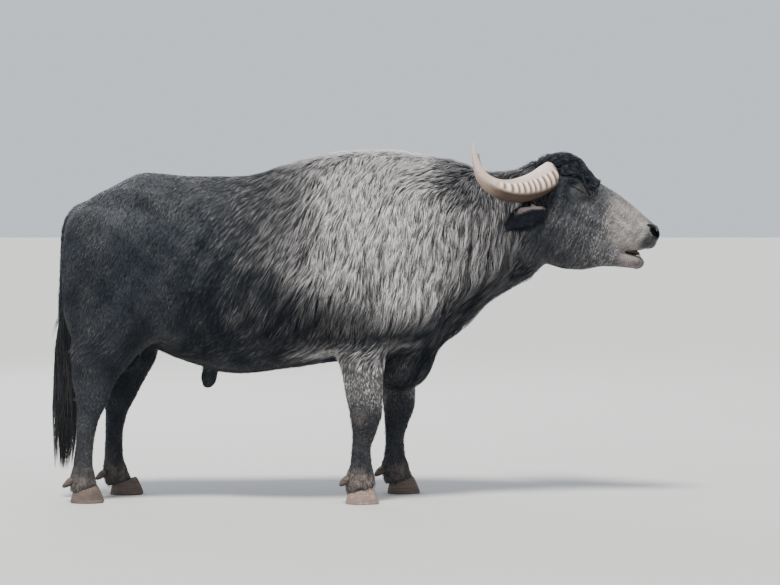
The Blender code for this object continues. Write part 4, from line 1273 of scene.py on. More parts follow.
@dataclass(frozen=True)
class HideFinish:
    """Near-black hide under short flat hair that shines where it lies smooth."""

    colours: CoatColours = COLOURS
    strand: float = 230.0  # short hairs a metre across the lie of the coat
    reach: float = 26.0  # and along it

    def make(self) -> Material:
        """The hide's material."""
        paint = Paint("hide")
        c = self.colours
        spot = paint.place()
        head, leg = paint.attribute("head_lie"), paint.attribute("leg_lie")
        face = tuple(float(k) for k in HEAD.turned(np.array((-0.55, 0.0, -0.8))))
        down = (0.0, 0.0, -1.0)
        body = paint.noise(paint.grain(spot, c.grain, self.strand, self.reach), 1.0, 3.0, 0.65)
        front = paint.noise(paint.grain(spot, face, self.strand * 1.5, self.reach * 2.4), 1.0, 3.0, 0.65)
        shin = paint.noise(paint.grain(spot, down, self.strand * 1.3, self.reach * 2.2), 1.0, 3.0, 0.7)
        hair = body * (1.0 - head) * (1.0 - leg) + front * head + shin * leg
        streak = paint.rise(hair, 0.4, 0.66)
        patch, mottle = paint.noise(spot, 7.0, 3.0, 0.55), paint.noise(spot, 38.0, 3.0, 0.6)
        creases = paint.cells(paint.grain(spot, down, 45.0, 110.0), 1.0)
        names = ("pale", "tan", "pink", "dust", "wet", "covered", "creased")
        pale, tan, pink, dust, wet, covered, creased = map(paint.attribute, names)
        colour = paint.layered(
            c.black,
            (paint.rise(patch + 0.25 * streak, 0.42, 0.8), c.slate),
            # pale share on the hide, partly faded hair, partly painted light and shade
            ((0.3 + 0.7 * streak) * (0.02 + 0.62 * pale), c.bleached),
            (tan * (0.45 + 0.55 * streak), c.tan),
            (dust * paint.rise(mottle, 0.22, 0.7), c.dust),
            (pink * (0.62 + 0.38 * mottle), c.pink),
            # painted shade: the hide drawn darker where the long coat and the mop lie over it
            (covered * (0.65 - 0.45 * pale), c.black),
            (wet, c.wet),
            # painted shade: crease lines drawn darker on knees, fetlocks and hocks
            (creased * paint.rise(creases, 0.38, 0.62) * 0.7, c.black),
        )
        tilt = paint.bump(hair * (1.0 - 0.8 * wet), 0.0024)
        tilt = paint.bump((1.0 - creases) * creased, 0.005, tilt)
        tilt = paint.bump(paint.cells(spot, 420.0) * wet, 0.00015, tilt)
        rough = 0.52 + 0.16 * patch + 0.2 * dust - 0.24 * wet + 0.3 * covered
        # painted reflection: the gloss is tinted blue as if mirroring a blue sky
        return paint.surface(colour, rough, tilt, 0.22, (0.68, 0.85, 1.0))


@dataclass(frozen=True)
class HairFinish:
    """Hair that is black at the root and paler towards the tip, by as much as its place on the coat says."""

    name: str
    colours: CoatColours = COLOURS
    tip: Colour = (0.81, 0.78, 0.755)
    # near-black, pushed towards blue as painted blue skylight
    base: Colour = (0.012, 0.015, 0.021)
    reveal: float = 1.0  # how much of the pale tip shows
    stray_light: float = 0.1  # how pale the few brightest hairs are even where the coat is dark: painted glints on single hairs
    roughness: float = 0.5

    def make(self) -> Material:
        """The material of one kind of lock. Each lock has its place in tip, from 0 at the root to 1."""
        paint = Paint(self.name)
        c = self.colours
        names = ("tip", "tone", "pale", "tan", "dust", "pink")
        tip, tone, pale, tan, dust, pink = map(paint.attribute, names)
        reach = paint.rise(tip, -0.3, 0.6)
        # pale tips where the pale share says, which carries painted light, and a few hairs made pale as
        # painted glints
        bright = pale * (0.12 + 1.34 * paint.rise(tone, 0.2, 0.78)) * self.reveal
        bright = bright + paint.rise(tone, 0.7, 0.86) * self.stray_light
        strands = paint.noise(paint.grain(paint.place(), c.grain, 900.0, 60.0), 1.0, 2.0)
        colour = paint.layered(
            c.black,
            (reach, self.base),
            (reach * bright, self.tip),
            (tan * (0.35 + 0.65 * reach) * (0.55 + 0.5 * tone), c.tan),
            (dust * reach * (0.4 + 0.6 * tone), c.dust),
            (pink * 0.55, c.pink),
            (paint.rise(strands, 0.5, 0.72) * 0.28, c.black),
        )
        rough = self.roughness + 0.15 * strands
        # painted reflection: the gloss is tinted blue as if mirroring a blue sky
        return paint.surface(colour, rough, paint.bump(strands, 0.0006), 0.26, (0.74, 0.87, 1.0))


@dataclass(frozen=True)
class HornFinish:
    """Pale tan horn: ridged and streaked on the face, smooth and greyer at the tip, dark brown below partly
    as painted shade, with painted highlights on the ridge crests, painted shade between them and a paler
    painted top face near the root.
    """

    face: Colour = (0.45, 0.325, 0.255)
    # light serves pale fibres and painted highlights on the ridge crests; groove serves growth rings and
    # painted shade between the ridges
    light: Colour = (0.87, 0.77, 0.67)
    smooth: Colour = (0.66, 0.56, 0.55)
    under: Colour = (0.03, 0.017, 0.01)
    groove: Colour = (0.115, 0.066, 0.042)
    tip: Colour = (0.42, 0.345, 0.31)

    def make(self) -> Material:
        """The horn's material. ridge, under, flat and reach are stored on the mesh."""
        paint = Paint("horn")
        rings = paint.noise(paint.flow("growth", (1.6, 1.6, 110.0)), 1.0, 3.0, 0.6)
        fibres = paint.noise(paint.flow("growth", (9.0, 9.0, 5.0)), 1.0, 3.0, 0.6)
        ridge, under, flat, reach = map(paint.attribute, ("ridge", "under", "flat", "reach"))
        colour = paint.layered(
            self.face,
            (paint.rise(fibres, 0.35, 0.7) * 0.35, self.light),
            # painted light: the smooth top face near the root drawn paler
            (flat * (0.6 + 0.3 * fibres), self.smooth),
            (paint.rise(rings, 0.52, 0.75) * 0.32, self.groove),
            # painted highlights on the ridge crests and painted shade in the hollows between them
            (paint.rise(ridge, 0.52, 0.85) * 0.85, self.light),
            (paint.rise(ridge, 0.45, 0.12) * 0.8, self.groove),
            (paint.rise(reach, 0.66, 0.95) * 0.7, self.tip),
            # the underside darker: partly the horn's own brown, partly painted shade
            (under * (0.88 + 0.12 * fibres), self.under),
        )
        tilt = paint.bump(fibres, 0.0007, paint.bump(rings, 0.0016))
        return paint.surface(colour, 0.4 + 0.22 * fibres, tilt, 0.2)


@dataclass(frozen=True)
class HoofFinish:
    """Dull grey-brown hoof with growth rings, scuffed and dusty towards the ground."""

    horn: Colour = (0.135, 0.098, 0.08)
    scuffed: Colour = (0.36, 0.27, 0.22)
    dark: Colour = (0.035, 0.028, 0.025)

    def make(self) -> Material:
        """The hoof's material. scuff is stored on the mesh: 1 on a pale worn claw, less on a dark one."""
        paint = Paint("hoof")
        spot = paint.place()
        rings = paint.noise(paint.grain(spot, (1.0, 0.0, -0.28), 30.0, 4.0), 8.0, 2.0)
        level = paint.noise(paint.grain(spot, (0.0, 0.0, 1.0), 8.0, 260.0), 1.0, 2.0)
        scuff = paint.rise(paint.noise(spot, 45.0, 4.0, 0.65), 0.42, 0.66)
        worn = paint.attribute("scuff")
        colour = paint.layered(
            self.horn,
            (paint.rise(level, 0.4, 0.65) * 0.5 + (1.0 - worn) * 0.45, self.dark),
            ((0.35 + 0.45 * scuff) * worn, self.scuffed),
        )
        tilt = paint.bump(rings, 0.001, paint.bump(level, 0.0016))
        return paint.surface(colour, 0.55 + 0.25 * scuff, tilt, 0.25)


@dataclass(frozen=True)
class EyeFinish:
    """A wet dark brown eye with a level slot of a pupil."""

    white: Colour = (0.016, 0.012, 0.011)
    iris: Colour = (0.008, 0.005, 0.004)
    pupil: Colour = (0.003, 0.003, 0.005)

    def make(self) -> Material:
        """The eye's material. iris and pupil are stored on the mesh, 1 inside and 0 outside."""
        paint = Paint("eye")
        fibres = paint.noise(paint.place(), 600.0, 2.0)
        colour = paint.layered(
            self.white,
            (paint.rise(paint.attribute("iris"), 0.4, 0.6), self.iris),
            (fibres * 0.3, self.pupil),
            (paint.rise(paint.attribute("pupil"), 0.4, 0.6), self.pupil),
        )
        return paint.surface(colour, 0.3 + 0.06 * fibres, None, 0.25)


@dataclass(frozen=True)
class SmoothFinish:
    """A smooth finish of two mottled colours, such as a tooth, a gum or a lid's wet rim."""

    name: str
    colour: Colour
    stain: Colour
    roughness: float
    scale: float = 160.0

    def make(self) -> Material:
        """The material."""
        paint = Paint(self.name)
        mottle = paint.noise(paint.place(), self.scale, 3.0, 0.6)
        colour = paint.blend(paint.rise(mottle, 0.35, 0.7), self.colour, self.stain)
        return paint.surface(colour, self.roughness + 0.1 * mottle, paint.bump(mottle, 0.0008))


# --- pieces ---


@dataclass
class Piece:
    """One closed mesh on its way into the model."""

    name: str
    points: Array
    faces: Sequence[Array]
    marks: dict[str, Array] = field(default_factory=dict)  # one number or three for each point
    layout: Array | None = None  # a place on the flat layout for each corner of each face

    @classmethod
    def tube(cls, name: str, rings: Array, **marks: Array) -> Piece:
        """A closed tube.

        Args:
            name: the piece's name.
            rings: its rings of points, in order.
            marks: values for the ring points, spread over rings or sides that they don't have.

        Returns:
            The tube. A fan about the end ring's middle, with that ring's mean values, closes each end.
        """
        spread = {}
        for key, mark in marks.items():
            each = mark.shape[2:]
            full = np.broadcast_to(mark, (*rings.shape[:2], *each))
            spread[key] = np.concatenate((full.reshape(-1, *each), full[:1].mean(1), full[-1:].mean(1)))
        return cls(name, *tube_mesh(rings), spread)

    def place(self, finish: Material, slot: str | None, stands_for: Sequence[str] = ()) -> None:
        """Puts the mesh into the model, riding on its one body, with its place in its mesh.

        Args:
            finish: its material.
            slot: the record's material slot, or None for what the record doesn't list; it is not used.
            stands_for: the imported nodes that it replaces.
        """
        mesh = bpy.data.meshes.new(self.name)
        mesh.vertices.add(len(self.points))
        mesh.vertices.foreach_set("co", (self.points + SHIFT).astype(np.float32).ravel())
        corners = np.concatenate([face.ravel() for face in self.faces])
        sizes = np.concatenate([np.full(len(face), face.shape[1]) for face in self.faces])
        mesh.loops.add(len(corners))
        mesh.loops.foreach_set("vertex_index", corners.astype(np.int32))
        mesh.polygons.add(len(sizes))
        mesh.polygons.foreach_set("loop_start", (np.cumsum(sizes) - sizes).astype(np.int32))
        mesh.update(calc_edges=True)
        mesh.shade_smooth()
        for name, mark in self.marks.items():
            kind, key = ("FLOAT", "value") if mark.ndim == 1 else ("FLOAT_VECTOR", "vector")
            made = mesh.attributes.new(name, kind, "POINT")
            made.data.foreach_set(key, mark.astype(np.float32).ravel())
        if self.layout is not None:
            flat = mesh.uv_layers.new(name="OFBake")
            flat.data.foreach_set("uv", self.layout.astype(np.float32).ravel())
        mesh.materials.append(finish)
        piece = bpy.data.objects.new(self.name, mesh)
        bpy.context.scene.collection.objects.link(piece)
        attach(piece, "root")
        if stands_for:
            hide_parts(*stands_for)
        LOG.info("%s: %d vertices, %d faces", self.name, len(self.points), len(sizes))


def tube_faces(rings: int, sides: int, wrap: bool = False) -> Array:
    """Quads between rings, facing outwards for rings that turn to the right going forwards.

    Args:
        rings: how many rings.
        sides: how many points in each.
        wrap: whether the last ring joins the first.

    Returns:
        Rows of four point numbers.
    """
    ring = np.arange(rings if wrap else rings - 1)[:, None] * sides
    following = (ring + sides) % (rings * sides)
    k = np.arange(sides)[None, :]
    ahead = (k + 1) % sides
    return np.stack((ring + k, ring + ahead, following + ahead, following + k), 2).reshape(-1, 4)


def turned_out(points: Array, faces: Sequence[Array]) -> list[Array]:
    """The faces of a closed mesh, turned round if its volume comes out negative.

    Args:
        points: the vertices.
        faces: arrays of quads and triangles that agree with one another.

    Returns:
        Faces that face outwards: a sixth of the sum of a·(b×c) over all triangles is then positive.
    """
    volume = 0.0
    for face in faces:
        a = points[face[:, 0]]
        for k in range(1, face.shape[1] - 1):
            volume += float((a * np.cross(points[face[:, k]], points[face[:, k + 1]])).sum())
    return list(faces) if volume > 0 else [face[:, ::-1] for face in faces]


def tube_mesh(rings: Array) -> tuple[Array, list[Array]]:
    """Points and outward faces of a tube through rings, closed at each end by a fan."""
    count, sides = rings.shape[:2]
    points = np.vstack((rings.reshape(-1, 3), rings[:1].mean(1), rings[-1:].mean(1)))
    k = np.arange(sides)
    ahead, back = (k + 1) % sides, (count - 1) * sides
    first, last = np.full(sides, count * sides), np.full(sides, count * sides + 1)
    fans = np.vstack((np.stack((first, ahead, k), 1), np.stack((last, back + k, back + ahead), 1)))
    return points, turned_out(points, (tube_faces(count, sides), fans))


class Markings:
    """Where the animal is pale, tan, pink, dusty or wet, with painted light and shade mixed into the pale
    share. Hide and hair read the same markings.
    """

    @staticmethod
    def dark_lip(u: Array, w: Array) -> Array:
        """The dark grey front of the upper lip, under and behind the nostril."""
        return ramp(0.395, 0.425, u) * ramp(0.052, 0.022, w - 0.7 * (u - 0.42))

    @classmethod
    def pale(cls, points: Array) -> Array:
        """How pale the hair's tips are: faded tips most on the shoulder, little on the rump, crest and belly,
        with painted light and shade mixed in: paler towards the top and on the forearm, a painted sheen on
        top of the rump, painted shade in the neck's folds with painted highlights beside them, and the pale
        core's rear edge shaped as a painted shadow.
        """
        x, _, z = points.T
        u, _, w = HEAD.inside(points).T
        broad, fine = waves(points, 0.45, 3), waves(points, 0.13, 5)
        # painted shadow: the rear edge of the pale core slants to follow a cast shadow
        rear = 0.3 * np.maximum(z - 1.0, 0) + 0.28 * ramp(1.02, 0.82, z)
        core = ramp(-0.53, 0.05, x - rear) * ramp(0.66, 0.94, z - 0.45 * np.maximum(x - 0.25, 0))
        neck = 1 - 0.55 * ramp(0.28, 0.46, x) - 0.22 * ramp(0.5, 0.66, x)
        crest = 1 - 0.66 * ramp(0.26, 0.4, x) * ramp(1.14, 1.26, z)
        depth = PLAN.folded(points)
        # painted shade in the neck's folds, and painted highlights on the ridges beside them
        folds = np.clip(1 - 42 * np.maximum(depth, 0), 0.12, 1) + 25 * np.maximum(-depth, 0)
        # painted light: paler towards the top, and painted shade on the underside
        top = (0.92 + 0.3 * ramp(1.0, 1.24, z)) * (1 - 0.5 * Region.underside(points))
        body = 0.04 + 0.96 * core * neck * crest * folds * top * (1 + 0.22 * broad)
        # painted sheen: paler on top of the rump
        rump = ramp(-0.25, -0.55, x) * (0.04 * broad + 0.13 * ramp(1.03, 1.26, z))
        # painted highlight on the outside of the forearm
        arm = 0.62 * ramp(0.7, 0.6, z) * ramp(0.34, 0.46, z) * ramp(-0.3, -0.1, x)
        arm *= ramp(0.13, 0.19, np.abs(points[:, 1]))
        face = 0.25 + 0.27 * ramp(0.16, 0.28, u) - 0.17 * ramp(0.11, 0.06, u) * ramp(-0.02, 0.04, w)
        mirrored = np.stack((u, np.abs(HEAD.inside(points)[:, 1]), w), 1)
        lids = np.linalg.norm((mirrored - EYE_AT) * (0.85, 1, 1), axis=1)
        face += 0.2 * ramp(0.036, 0.028, lids) - 0.14 * ramp(0.06, 0.045, lids) * ramp(0.03, 0.04, lids)
        face -= 0.12 * ramp(-0.01, -0.06, w) * ramp(0.33, 0.28, u)
        face -= 0.34 * cls.dark_lip(u, w)
        head = Region.head(points)
        mixed = (body + rump + arm) * (1 - head) + face * head
        bare = (1 - 0.9 * Region.tuft(points)) * (1 - 0.92 * Region.ears(points))
        return np.clip(mixed * bare + 0.05 * fine * bare, 0, 1)

    @classmethod
    def tan(cls, points: Array) -> Array:
        """The grizzled tan of the middle of the face, fading before the nose."""
        u, _, w = HEAD.inside(points).T
        band = ramp(0.215, 0.31, u + 0.25 * (w - 0.07)) * ramp(0.445, 0.395, u)
        side = ramp(-0.065, -0.01, w) * (1 - 0.45 * ramp(0.12, 0.16, w)) * (1 - 0.8 * cls.dark_lip(u, w))
        return np.clip(band * side * (0.62 + 0.22 * waves(points, 0.05, 11)), 0, 1) * Region.head(points)

    @staticmethod
    def pink(points: Array) -> Array:
        """Bare pinkish skin at the chin, the corner of the mouth and on the knees."""
        local = HEAD.inside(points)
        u, _, w = local.T
        wrinkled = 0.5 + 0.5 * PLAN.chin_wrinkles(local)
        chin = ramp(0.335, 0.375, u) * ramp(-0.04, -0.052, w) * ramp(-0.125, -0.085, w)
        chin *= 0.28 + 0.34 * wrinkled
        corner = 0.35 * np.exp(-(((u - 0.352) / 0.022) ** 2) - ((w + 0.03) / 0.03) ** 2)
        corner += 0.4 * bell((w - PLAN.lip(u) - 0.003) / 0.0045) * ramp(0.37, 0.39, u) * ramp(0.46, 0.44, u)
        knees = np.zeros(len(points))
        for spot in ((0.012, -0.235, 0.345), (0.146, 0.235, 0.345)):
            knees += 0.3 * hill((points - spot) / (0.034, 0.05, 0.03))
        bare = (chin + corner) * Region.head(points) + knees
        return np.clip(bare * (0.8 + 0.3 * waves(points, 0.03, 17)) + 0.9 * PLAN.ear.rim(local), 0, 1)

    @staticmethod
    def dust(points: Array) -> Array:
        """Dried mud on the pasterns, thinning up the lower legs."""
        z = points[:, 2]
        legs = Region.leg(points)
        low = 0.85 * ramp(0.16, 0.09, z) + 0.16 * ramp(0.42, 0.18, z)
        low *= 0.55 + 0.45 * ramp(-0.2, -0.1, points[:, 0]) * (points[:, 1] < 0)
        return np.clip(legs * low * (0.75 + 0.4 * waves(points, 0.06, 23)), 0, 1)

    @staticmethod
    def wet(points: Array) -> Array:
        """The moist nose pad, the nostrils and the inside of the mouth."""
        local = HEAD.inside(points)
        u, _, w = local.T
        pad = 0.75 * ramp(0.456, 0.47, u) * ramp(-0.002, 0.012, w - 0.5 * (u - 0.44))
        lip = smooth_curve(u, (0.37, 0.405, 0.44, 0.475), (-0.045, -0.029, -0.008, 0.012))
        mouth = ramp(0.378, 0.386, u) * ramp(0.003, -0.003, w - lip) * ramp(-0.046, -0.04, w)
        found = np.maximum(pad, mouth)
        for side in PLAN.sides:
            for hole in PLAN.nostril:
                away = np.linalg.norm(scaled_offset(local, hole, side), axis=1)
                found = np.maximum(found, ramp(1.45, 1.1, away))
            along, out, up = PLAN.eye.around(local, side).T
            rim = ramp(0.0045, 0.0015, PLAN.eye.slit(along, up)) * (out > 0)
            found = np.maximum(found, 0.9 * rim)
        return found

    @staticmethod
    def creased(points: Array) -> Array:
        """Where the hide is creased across: knees, fetlocks and hocks, which also carry painted shade in the
        crease lines.
        """
        z = points[:, 2]
        knee = bell((z - 0.3) / 0.05) * (points[:, 0] > -0.5)
        fetlock = ramp(0.15, 0.1, z)
        return Region.leg(points) * np.clip(0.8 * knee + 0.12 * fetlock, 0, 1)

    @classmethod
    def for_hair(cls, points: Array) -> dict[str, Array]:
        """The markings that locks carry, read at their roots."""
        return {mark.__name__: mark(points) for mark in (cls.pale, cls.tan, cls.pink, cls.dust)}

    @classmethod
    def for_hide(cls, points: Array) -> dict[str, Array]:
        """The markings of the hide, with the shares of head and leg that turn its grain."""
        found = cls.for_hair(points)
        found.update(wet=cls.wet(points), creased=cls.creased(points))
        found.update(head_lie=Region.head(points), leg_lie=Region.leg(points))
        # painted shade on the hide where the long coat and the mop lie over it
        covered = np.clip(Region.shag(points) * 1.3 + Region.tuft(points), 0, 1)
        return found | {"covered": covered * (1 - Region.ears(points))}


class Lie:
    """Which way the hair runs."""

    trunk: Triple = (-0.5, 0.0, -0.86)
    shoulder: Triple = (-0.2, 0.0, -0.98)
    neck: Triple = (-0.14, 0.0, -0.99)
    down: Triple = (0.0, 0.0, -1.0)
    below: Triple = (-0.8, 0.0, -0.55)
    thigh: Triple = (-0.22, 0.0, -0.97)
    cheek: Triple = (-0.42, 0.0, -0.9)
    bridge: Triple = (-0.8, 0.0, 0.2)
    mop: Triple = (0.8, 0.0, -0.45)
    whorl: Triple = (0.34, 0.0, 1.33)

    @classmethod
    def way(cls, points: Array, normals: Array) -> Array:
        """The lie of the coat.

        Args:
            points: places on the hide.
            normals: the hide's outward directions there.

        Returns:
            Unit directions in the hide: one for each region, mixed by the regions' shares, laid flat and then
            turned about the normal by soft noise, and by a whorl beside the withers.
        """
        x, y, z = points.T
        u, _, w = HEAD.inside(points).T
        way = np.tile(cls.trunk, (len(points), 1))

        def turn(share: Array, towards: Triple) -> None:
            """Draws the ways towards a direction."""
            way[:] += share[:, None] * (np.array(towards) - way)

        turn(ramp(-0.62, -0.95, x), cls.thigh)
        turn(ramp(-0.4, 0.05, x), cls.shoulder)
        turn(ramp(0.36, 0.55, x), cls.neck)
        turn(Region.underside(points), cls.below)
        turn(Region.leg(points), cls.down)
        turn(ramp(-1.12, -1.15, x) * ramp(0.06, 0.03, np.abs(y)), cls.down)
        way[:, 0] -= 0.5 * ramp(1.2, 1.3, z) * ramp(0.07, 0.0, np.abs(y))
        way[:, 1] += np.sign(y) * 0.45 * ramp(1.2, 1.34, z) * ramp(0.02, 0.1, np.abs(y))
        head = Region.head(points)
        turn(head, cls.cheek)
        turn(head * ramp(0.11, 0.16, w + 0.1 * (u - 0.2)), cls.bridge)
        turn(Region.tuft(points), cls.mop)
        flat = tangent(way, normals)
        beside, above = (x - cls.whorl[0]) / 0.17, (z - cls.whorl[2]) / 0.085
        swirl = 1.1 * np.exp(-(beside**2) - above**2) * np.sign(y)
        shag = Region.shag(points)
        angle = swirl + (0.1 + 0.12 * shag) * waves(points, 0.18, 31) + 0.09 * shag * waves(points, 0.06, 37)
        angle += Region.tuft(points) * 0.7 * waves(points, 0.07, 41)
        sideways = np.cross(normals, flat)
        return flat * np.cos(angle)[:, None] + sideways * np.sin(angle)[:, None]


@dataclass
class Hide:
    """The one skin over trunk, neck, head, legs, ear roots and tail."""

    step: float = 0.0139
    low: Triple = (-1.36, -0.48, -0.03)
    high: Triple = (1.33, 0.48, 1.53)
    lattice: Lattice = field(init=False)
    surface: Surface = field(init=False)

    def __post_init__(self) -> None:
        self.lattice = Lattice.of(PLAN.rough_hide, self.low, self.high, self.step)
        self.lattice.fill_pinches()
        surface = Surface(*self.lattice.net()).relaxed(2)
        for level, chosen in enumerate((self.whole_head, self.face, self.rims)):
            surface = surface.refined(chosen(HEAD.inside(surface.centres())))
            surface = surface.relaxed(1).projected(PLAN.hide, self.step / 2 ** (level + 1), 2)
        self.surface = surface.projected(PLAN.hide, self.step / 4, 2)
        self.raise_over_horns()

    def raise_over_horns(self) -> None:
        """Joins the horns on to the lattice, so that long hair runs over them and not through."""
        shape = self.lattice.values.shape
        nodes = np.indices(shape).reshape(3, -1).T * self.lattice.step + self.lattice.low
        values = self.lattice.values.reshape(-1)
        for side in PLAN.sides:
            line = smooth_stations(HORN, 14)
            middle = HEAD.outside(line[:, :3] * (1, side, 1))
            values = PLAN.chain(nodes, np.column_stack((middle, 0.9 * line[:, 3])), values, 0.01)
        self.lattice.values = values.reshape(shape)

    @staticmethod
    def whole_head(local: Array) -> Array:
        """The quads of the head and ears."""
        u, v, w = local.T
        ears = (u > -0.16) & (np.abs(v) > 0.1) & (w > -0.19) & (w < 0.05)
        return ears | ((u > -0.05) & (np.abs(v) < 0.2) & (w > -0.24))

    @staticmethod
    def face(local: Array) -> Array:
        """The quads of the muzzle, the ears and round the eyes."""
        mirrored = np.stack((local[:, 0], np.abs(local[:, 1]), local[:, 2]), 1)
        u, v, w = mirrored.T
        ears = (u > -0.15) & (u < 0.0) & (v > 0.125) & (w > -0.18) & (w < 0.04)
        return ears | (u > 0.325) | (np.linalg.norm(mirrored - EYE_AT, axis=1) < 0.052)

    @staticmethod
    def rims(local: Array) -> Array:
        """The quads of the lids, nostrils and lips."""
        found = np.zeros(len(local), bool)
        for side in PLAN.sides:
            found |= np.linalg.norm(PLAN.eye.around(local, side) * (0.8, 1, 1), axis=1) < 0.033
            for hole in PLAN.nostril:
                found |= np.linalg.norm(scaled_offset(local, hole, side), axis=1) < 1.9
        u, _, w = local.T
        return found | ((u > 0.37) & (w > -0.05) & (w < 0.01))

    def vertex_normals(self) -> Array:
        """Each vertex's outward direction, from the areas of the triangles round it."""
        points, faces = self.surface.points, self.surface.flat()
        a, b, c = (points[faces[:, k]] for k in range(3))
        tilt = np.cross(b - a, c - a)
        count = len(points)
        total = [sum(np.bincount(corner, way, minlength=count) for corner in faces.T) for way in tilt.T]
        return unit(np.stack(total, 1))

    def drop(self, rng: Random, weight: Field, density: float, together: int) -> tuple[Array, Array]:
        """Random places on the hide.

        Args:
            rng: the seeded source of numbers.
            weight: how dense they are, as a share for each place.
            density: locks a square metre where that share is 1.
            together: how many locks stand at each place.

        Returns:
            The places and the hide's outward directions there.
        """
        points, faces = self.surface.points, self.surface.flat()
        normals = self.vertex_normals()
        a, b, c = (points[faces[:, k]] for k in range(3))
        area = np.linalg.norm(np.cross(b - a, c - a), axis=1) / 2
        chance = np.cumsum(area * weight((a + b + c) / 3))
        count = max(8, int(density * chance[-1] / together))
        corner = faces[np.searchsorted(chance, rng.uniform(0, chance[-1], count))]
        r, s = rng.uniform(0, 1, (2, count))
        r, s = np.where(r + s > 1, 1 - r, r)[:, None], np.where(r + s > 1, 1 - s, s)[:, None]
        shares = (1 - r - s, r, s)
        spots = sum(share * points[corner[:, k]] for k, share in enumerate(shares))
        return spots, unit(sum(share * normals[corner[:, k]] for k, share in enumerate(shares)))

    def build(self, finish: Material) -> None:
        """The hide as a piece, which stands for every node of flesh."""
        points, faces = self.surface.points, (self.surface.quads, self.surface.triangles)
        piece = Piece("hide", points, faces, Markings.for_hide(points))
        flesh = ("trunk", "neck", "head", "tail", "ear_right", "ear_left", *(foot.leg for foot in FEET))
        piece.place(finish, "coat", flesh)


# --- the coat ---

LOCK_SIDES = 3
PATCH = 0.003  # how wide each lock's own patch is on the flat layout of the coat


class Unwrap(Enum):
    """How places on the hide are laid flat."""

    BODY = "round the trunk"
    HEAD = "round the head"
    LEGS = "round each leg"

    def flat(self, points: Array) -> Array:
        """Places on the unit square: how far along the part and how far round it."""
        x, y, z = points.T
        if self is Unwrap.HEAD:
            u, v, w = HEAD.inside(points).T
            along, around = u, np.arctan2(v, w - 0.02)
        elif self is Unwrap.LEGS:
            rows = [(foot.x, foot.y) for foot in FEET]
            gaps = np.stack([np.hypot((x - at_x) * 0.6, y - at_y) for at_x, at_y in rows], 1)
            which = gaps.argmin(1)
            middle = np.array(rows)[which]
            around = np.arctan2(y - middle[:, 1], x - middle[:, 0]) + 7.0 * which
            along = z
        else:
            along, around = x, np.arctan2(y, z - 0.95)
        return spread_out(along, around)


def spread_out(along: Array, around: Array) -> Array:
    """Two numbers for each place, stretched to fill the unit square less room for one patch."""
    flat = np.stack((along, around), 1)
    low, high = flat.min(0), flat.max(0)
    return 0.006 + (flat - low) / (high - low) * 0.985


def plain_marks(count: int, pale: float) -> dict[str, Array]:
    """Markings for hair that is the same all over."""
    none = np.zeros(count)
    return {"pale": none + pale, "tan": none, "pink": none, "dust": none}


@dataclass(frozen=True)
class LockStyle:
    """How the locks of one part of the coat grow."""

    density: float  # locks a square metre
    width: float
    segments: int
    length: float = 1.0  # times what the place on the body gives
    variety: float = 0.3  # share by which lengths differ
    clump: int = 1
    clump_radius: float = 0.0
    gather: float = 0.0  # how far a clump's tips draw together
    wave: float = 0.0  # radians that a lock swings to either side
    curls: float = 1.0  # swings along its length
    stray: float = 0.16  # radians by which neighbours differ
    lift: float = 1.0  # height over the hide, as a share of the coat's depth
    loose: float = 0.5  # how freely it hangs where the hide falls away
    flatness: float = 0.42  # thickness as a share of width
    streak: Triple = (0.0, 0.0, 0.0)  # the way in which neighbours are alike in tone and height; none if zero
    follows: bool = True  # whether it is led along the hide, as long hair has to be


class Growth:
    """How long the hair is from place to place, and how it parts into streaks."""

    @staticmethod
    def streaks(points: Array, way: Triple) -> Array:
        """Soft noise from 0 to 1 in streaks about 8 mm wide and ten times as long."""
        ahead = np.array(way)
        squeezed = points - 0.9 * (points @ ahead)[:, None] * ahead
        mixed = 0.6 * waves(squeezed, 0.012, 51) + 0.4 * waves(squeezed, 0.034, 53)
        return np.clip(0.5 + 0.75 * mixed, 0, 1)

    @staticmethod
    def length(points: Array) -> Array:
        """Lengths in metres: 7 cm on the shoulder, 1.5 cm on the rump and legs, under 1 cm on the face."""
        x, _, z = points.T
        shag = Region.shag(points)
        length = 0.019 + 0.05 * shag**0.9 + 0.022 * Region.underside(points) * (1 - shag)
        length -= 0.022 * ramp(0.22, 0.36, x) * ramp(1.16, 1.28, z)
        length -= 0.024 * Region.sheath(points)
        length += 0.075 * Region.tail(points) * ramp(0.98, 0.74, z)
        leg = Region.leg(points)
        length -= 0.04 * shag * ramp(0.82, 0.66, z)
        length += leg * (0.0145 - length) + 0.005 * ramp(0.11, 0.085, z)
        head = Region.head(points)
        u = HEAD.inside(points)[:, 0]
        face = 0.028 - 0.011 * ramp(0.16, 0.26, u) - 0.0095 * ramp(0.26, 0.4, u)
        length += head * (face - length)
        return length + Region.tuft(points) * (0.036 - length)


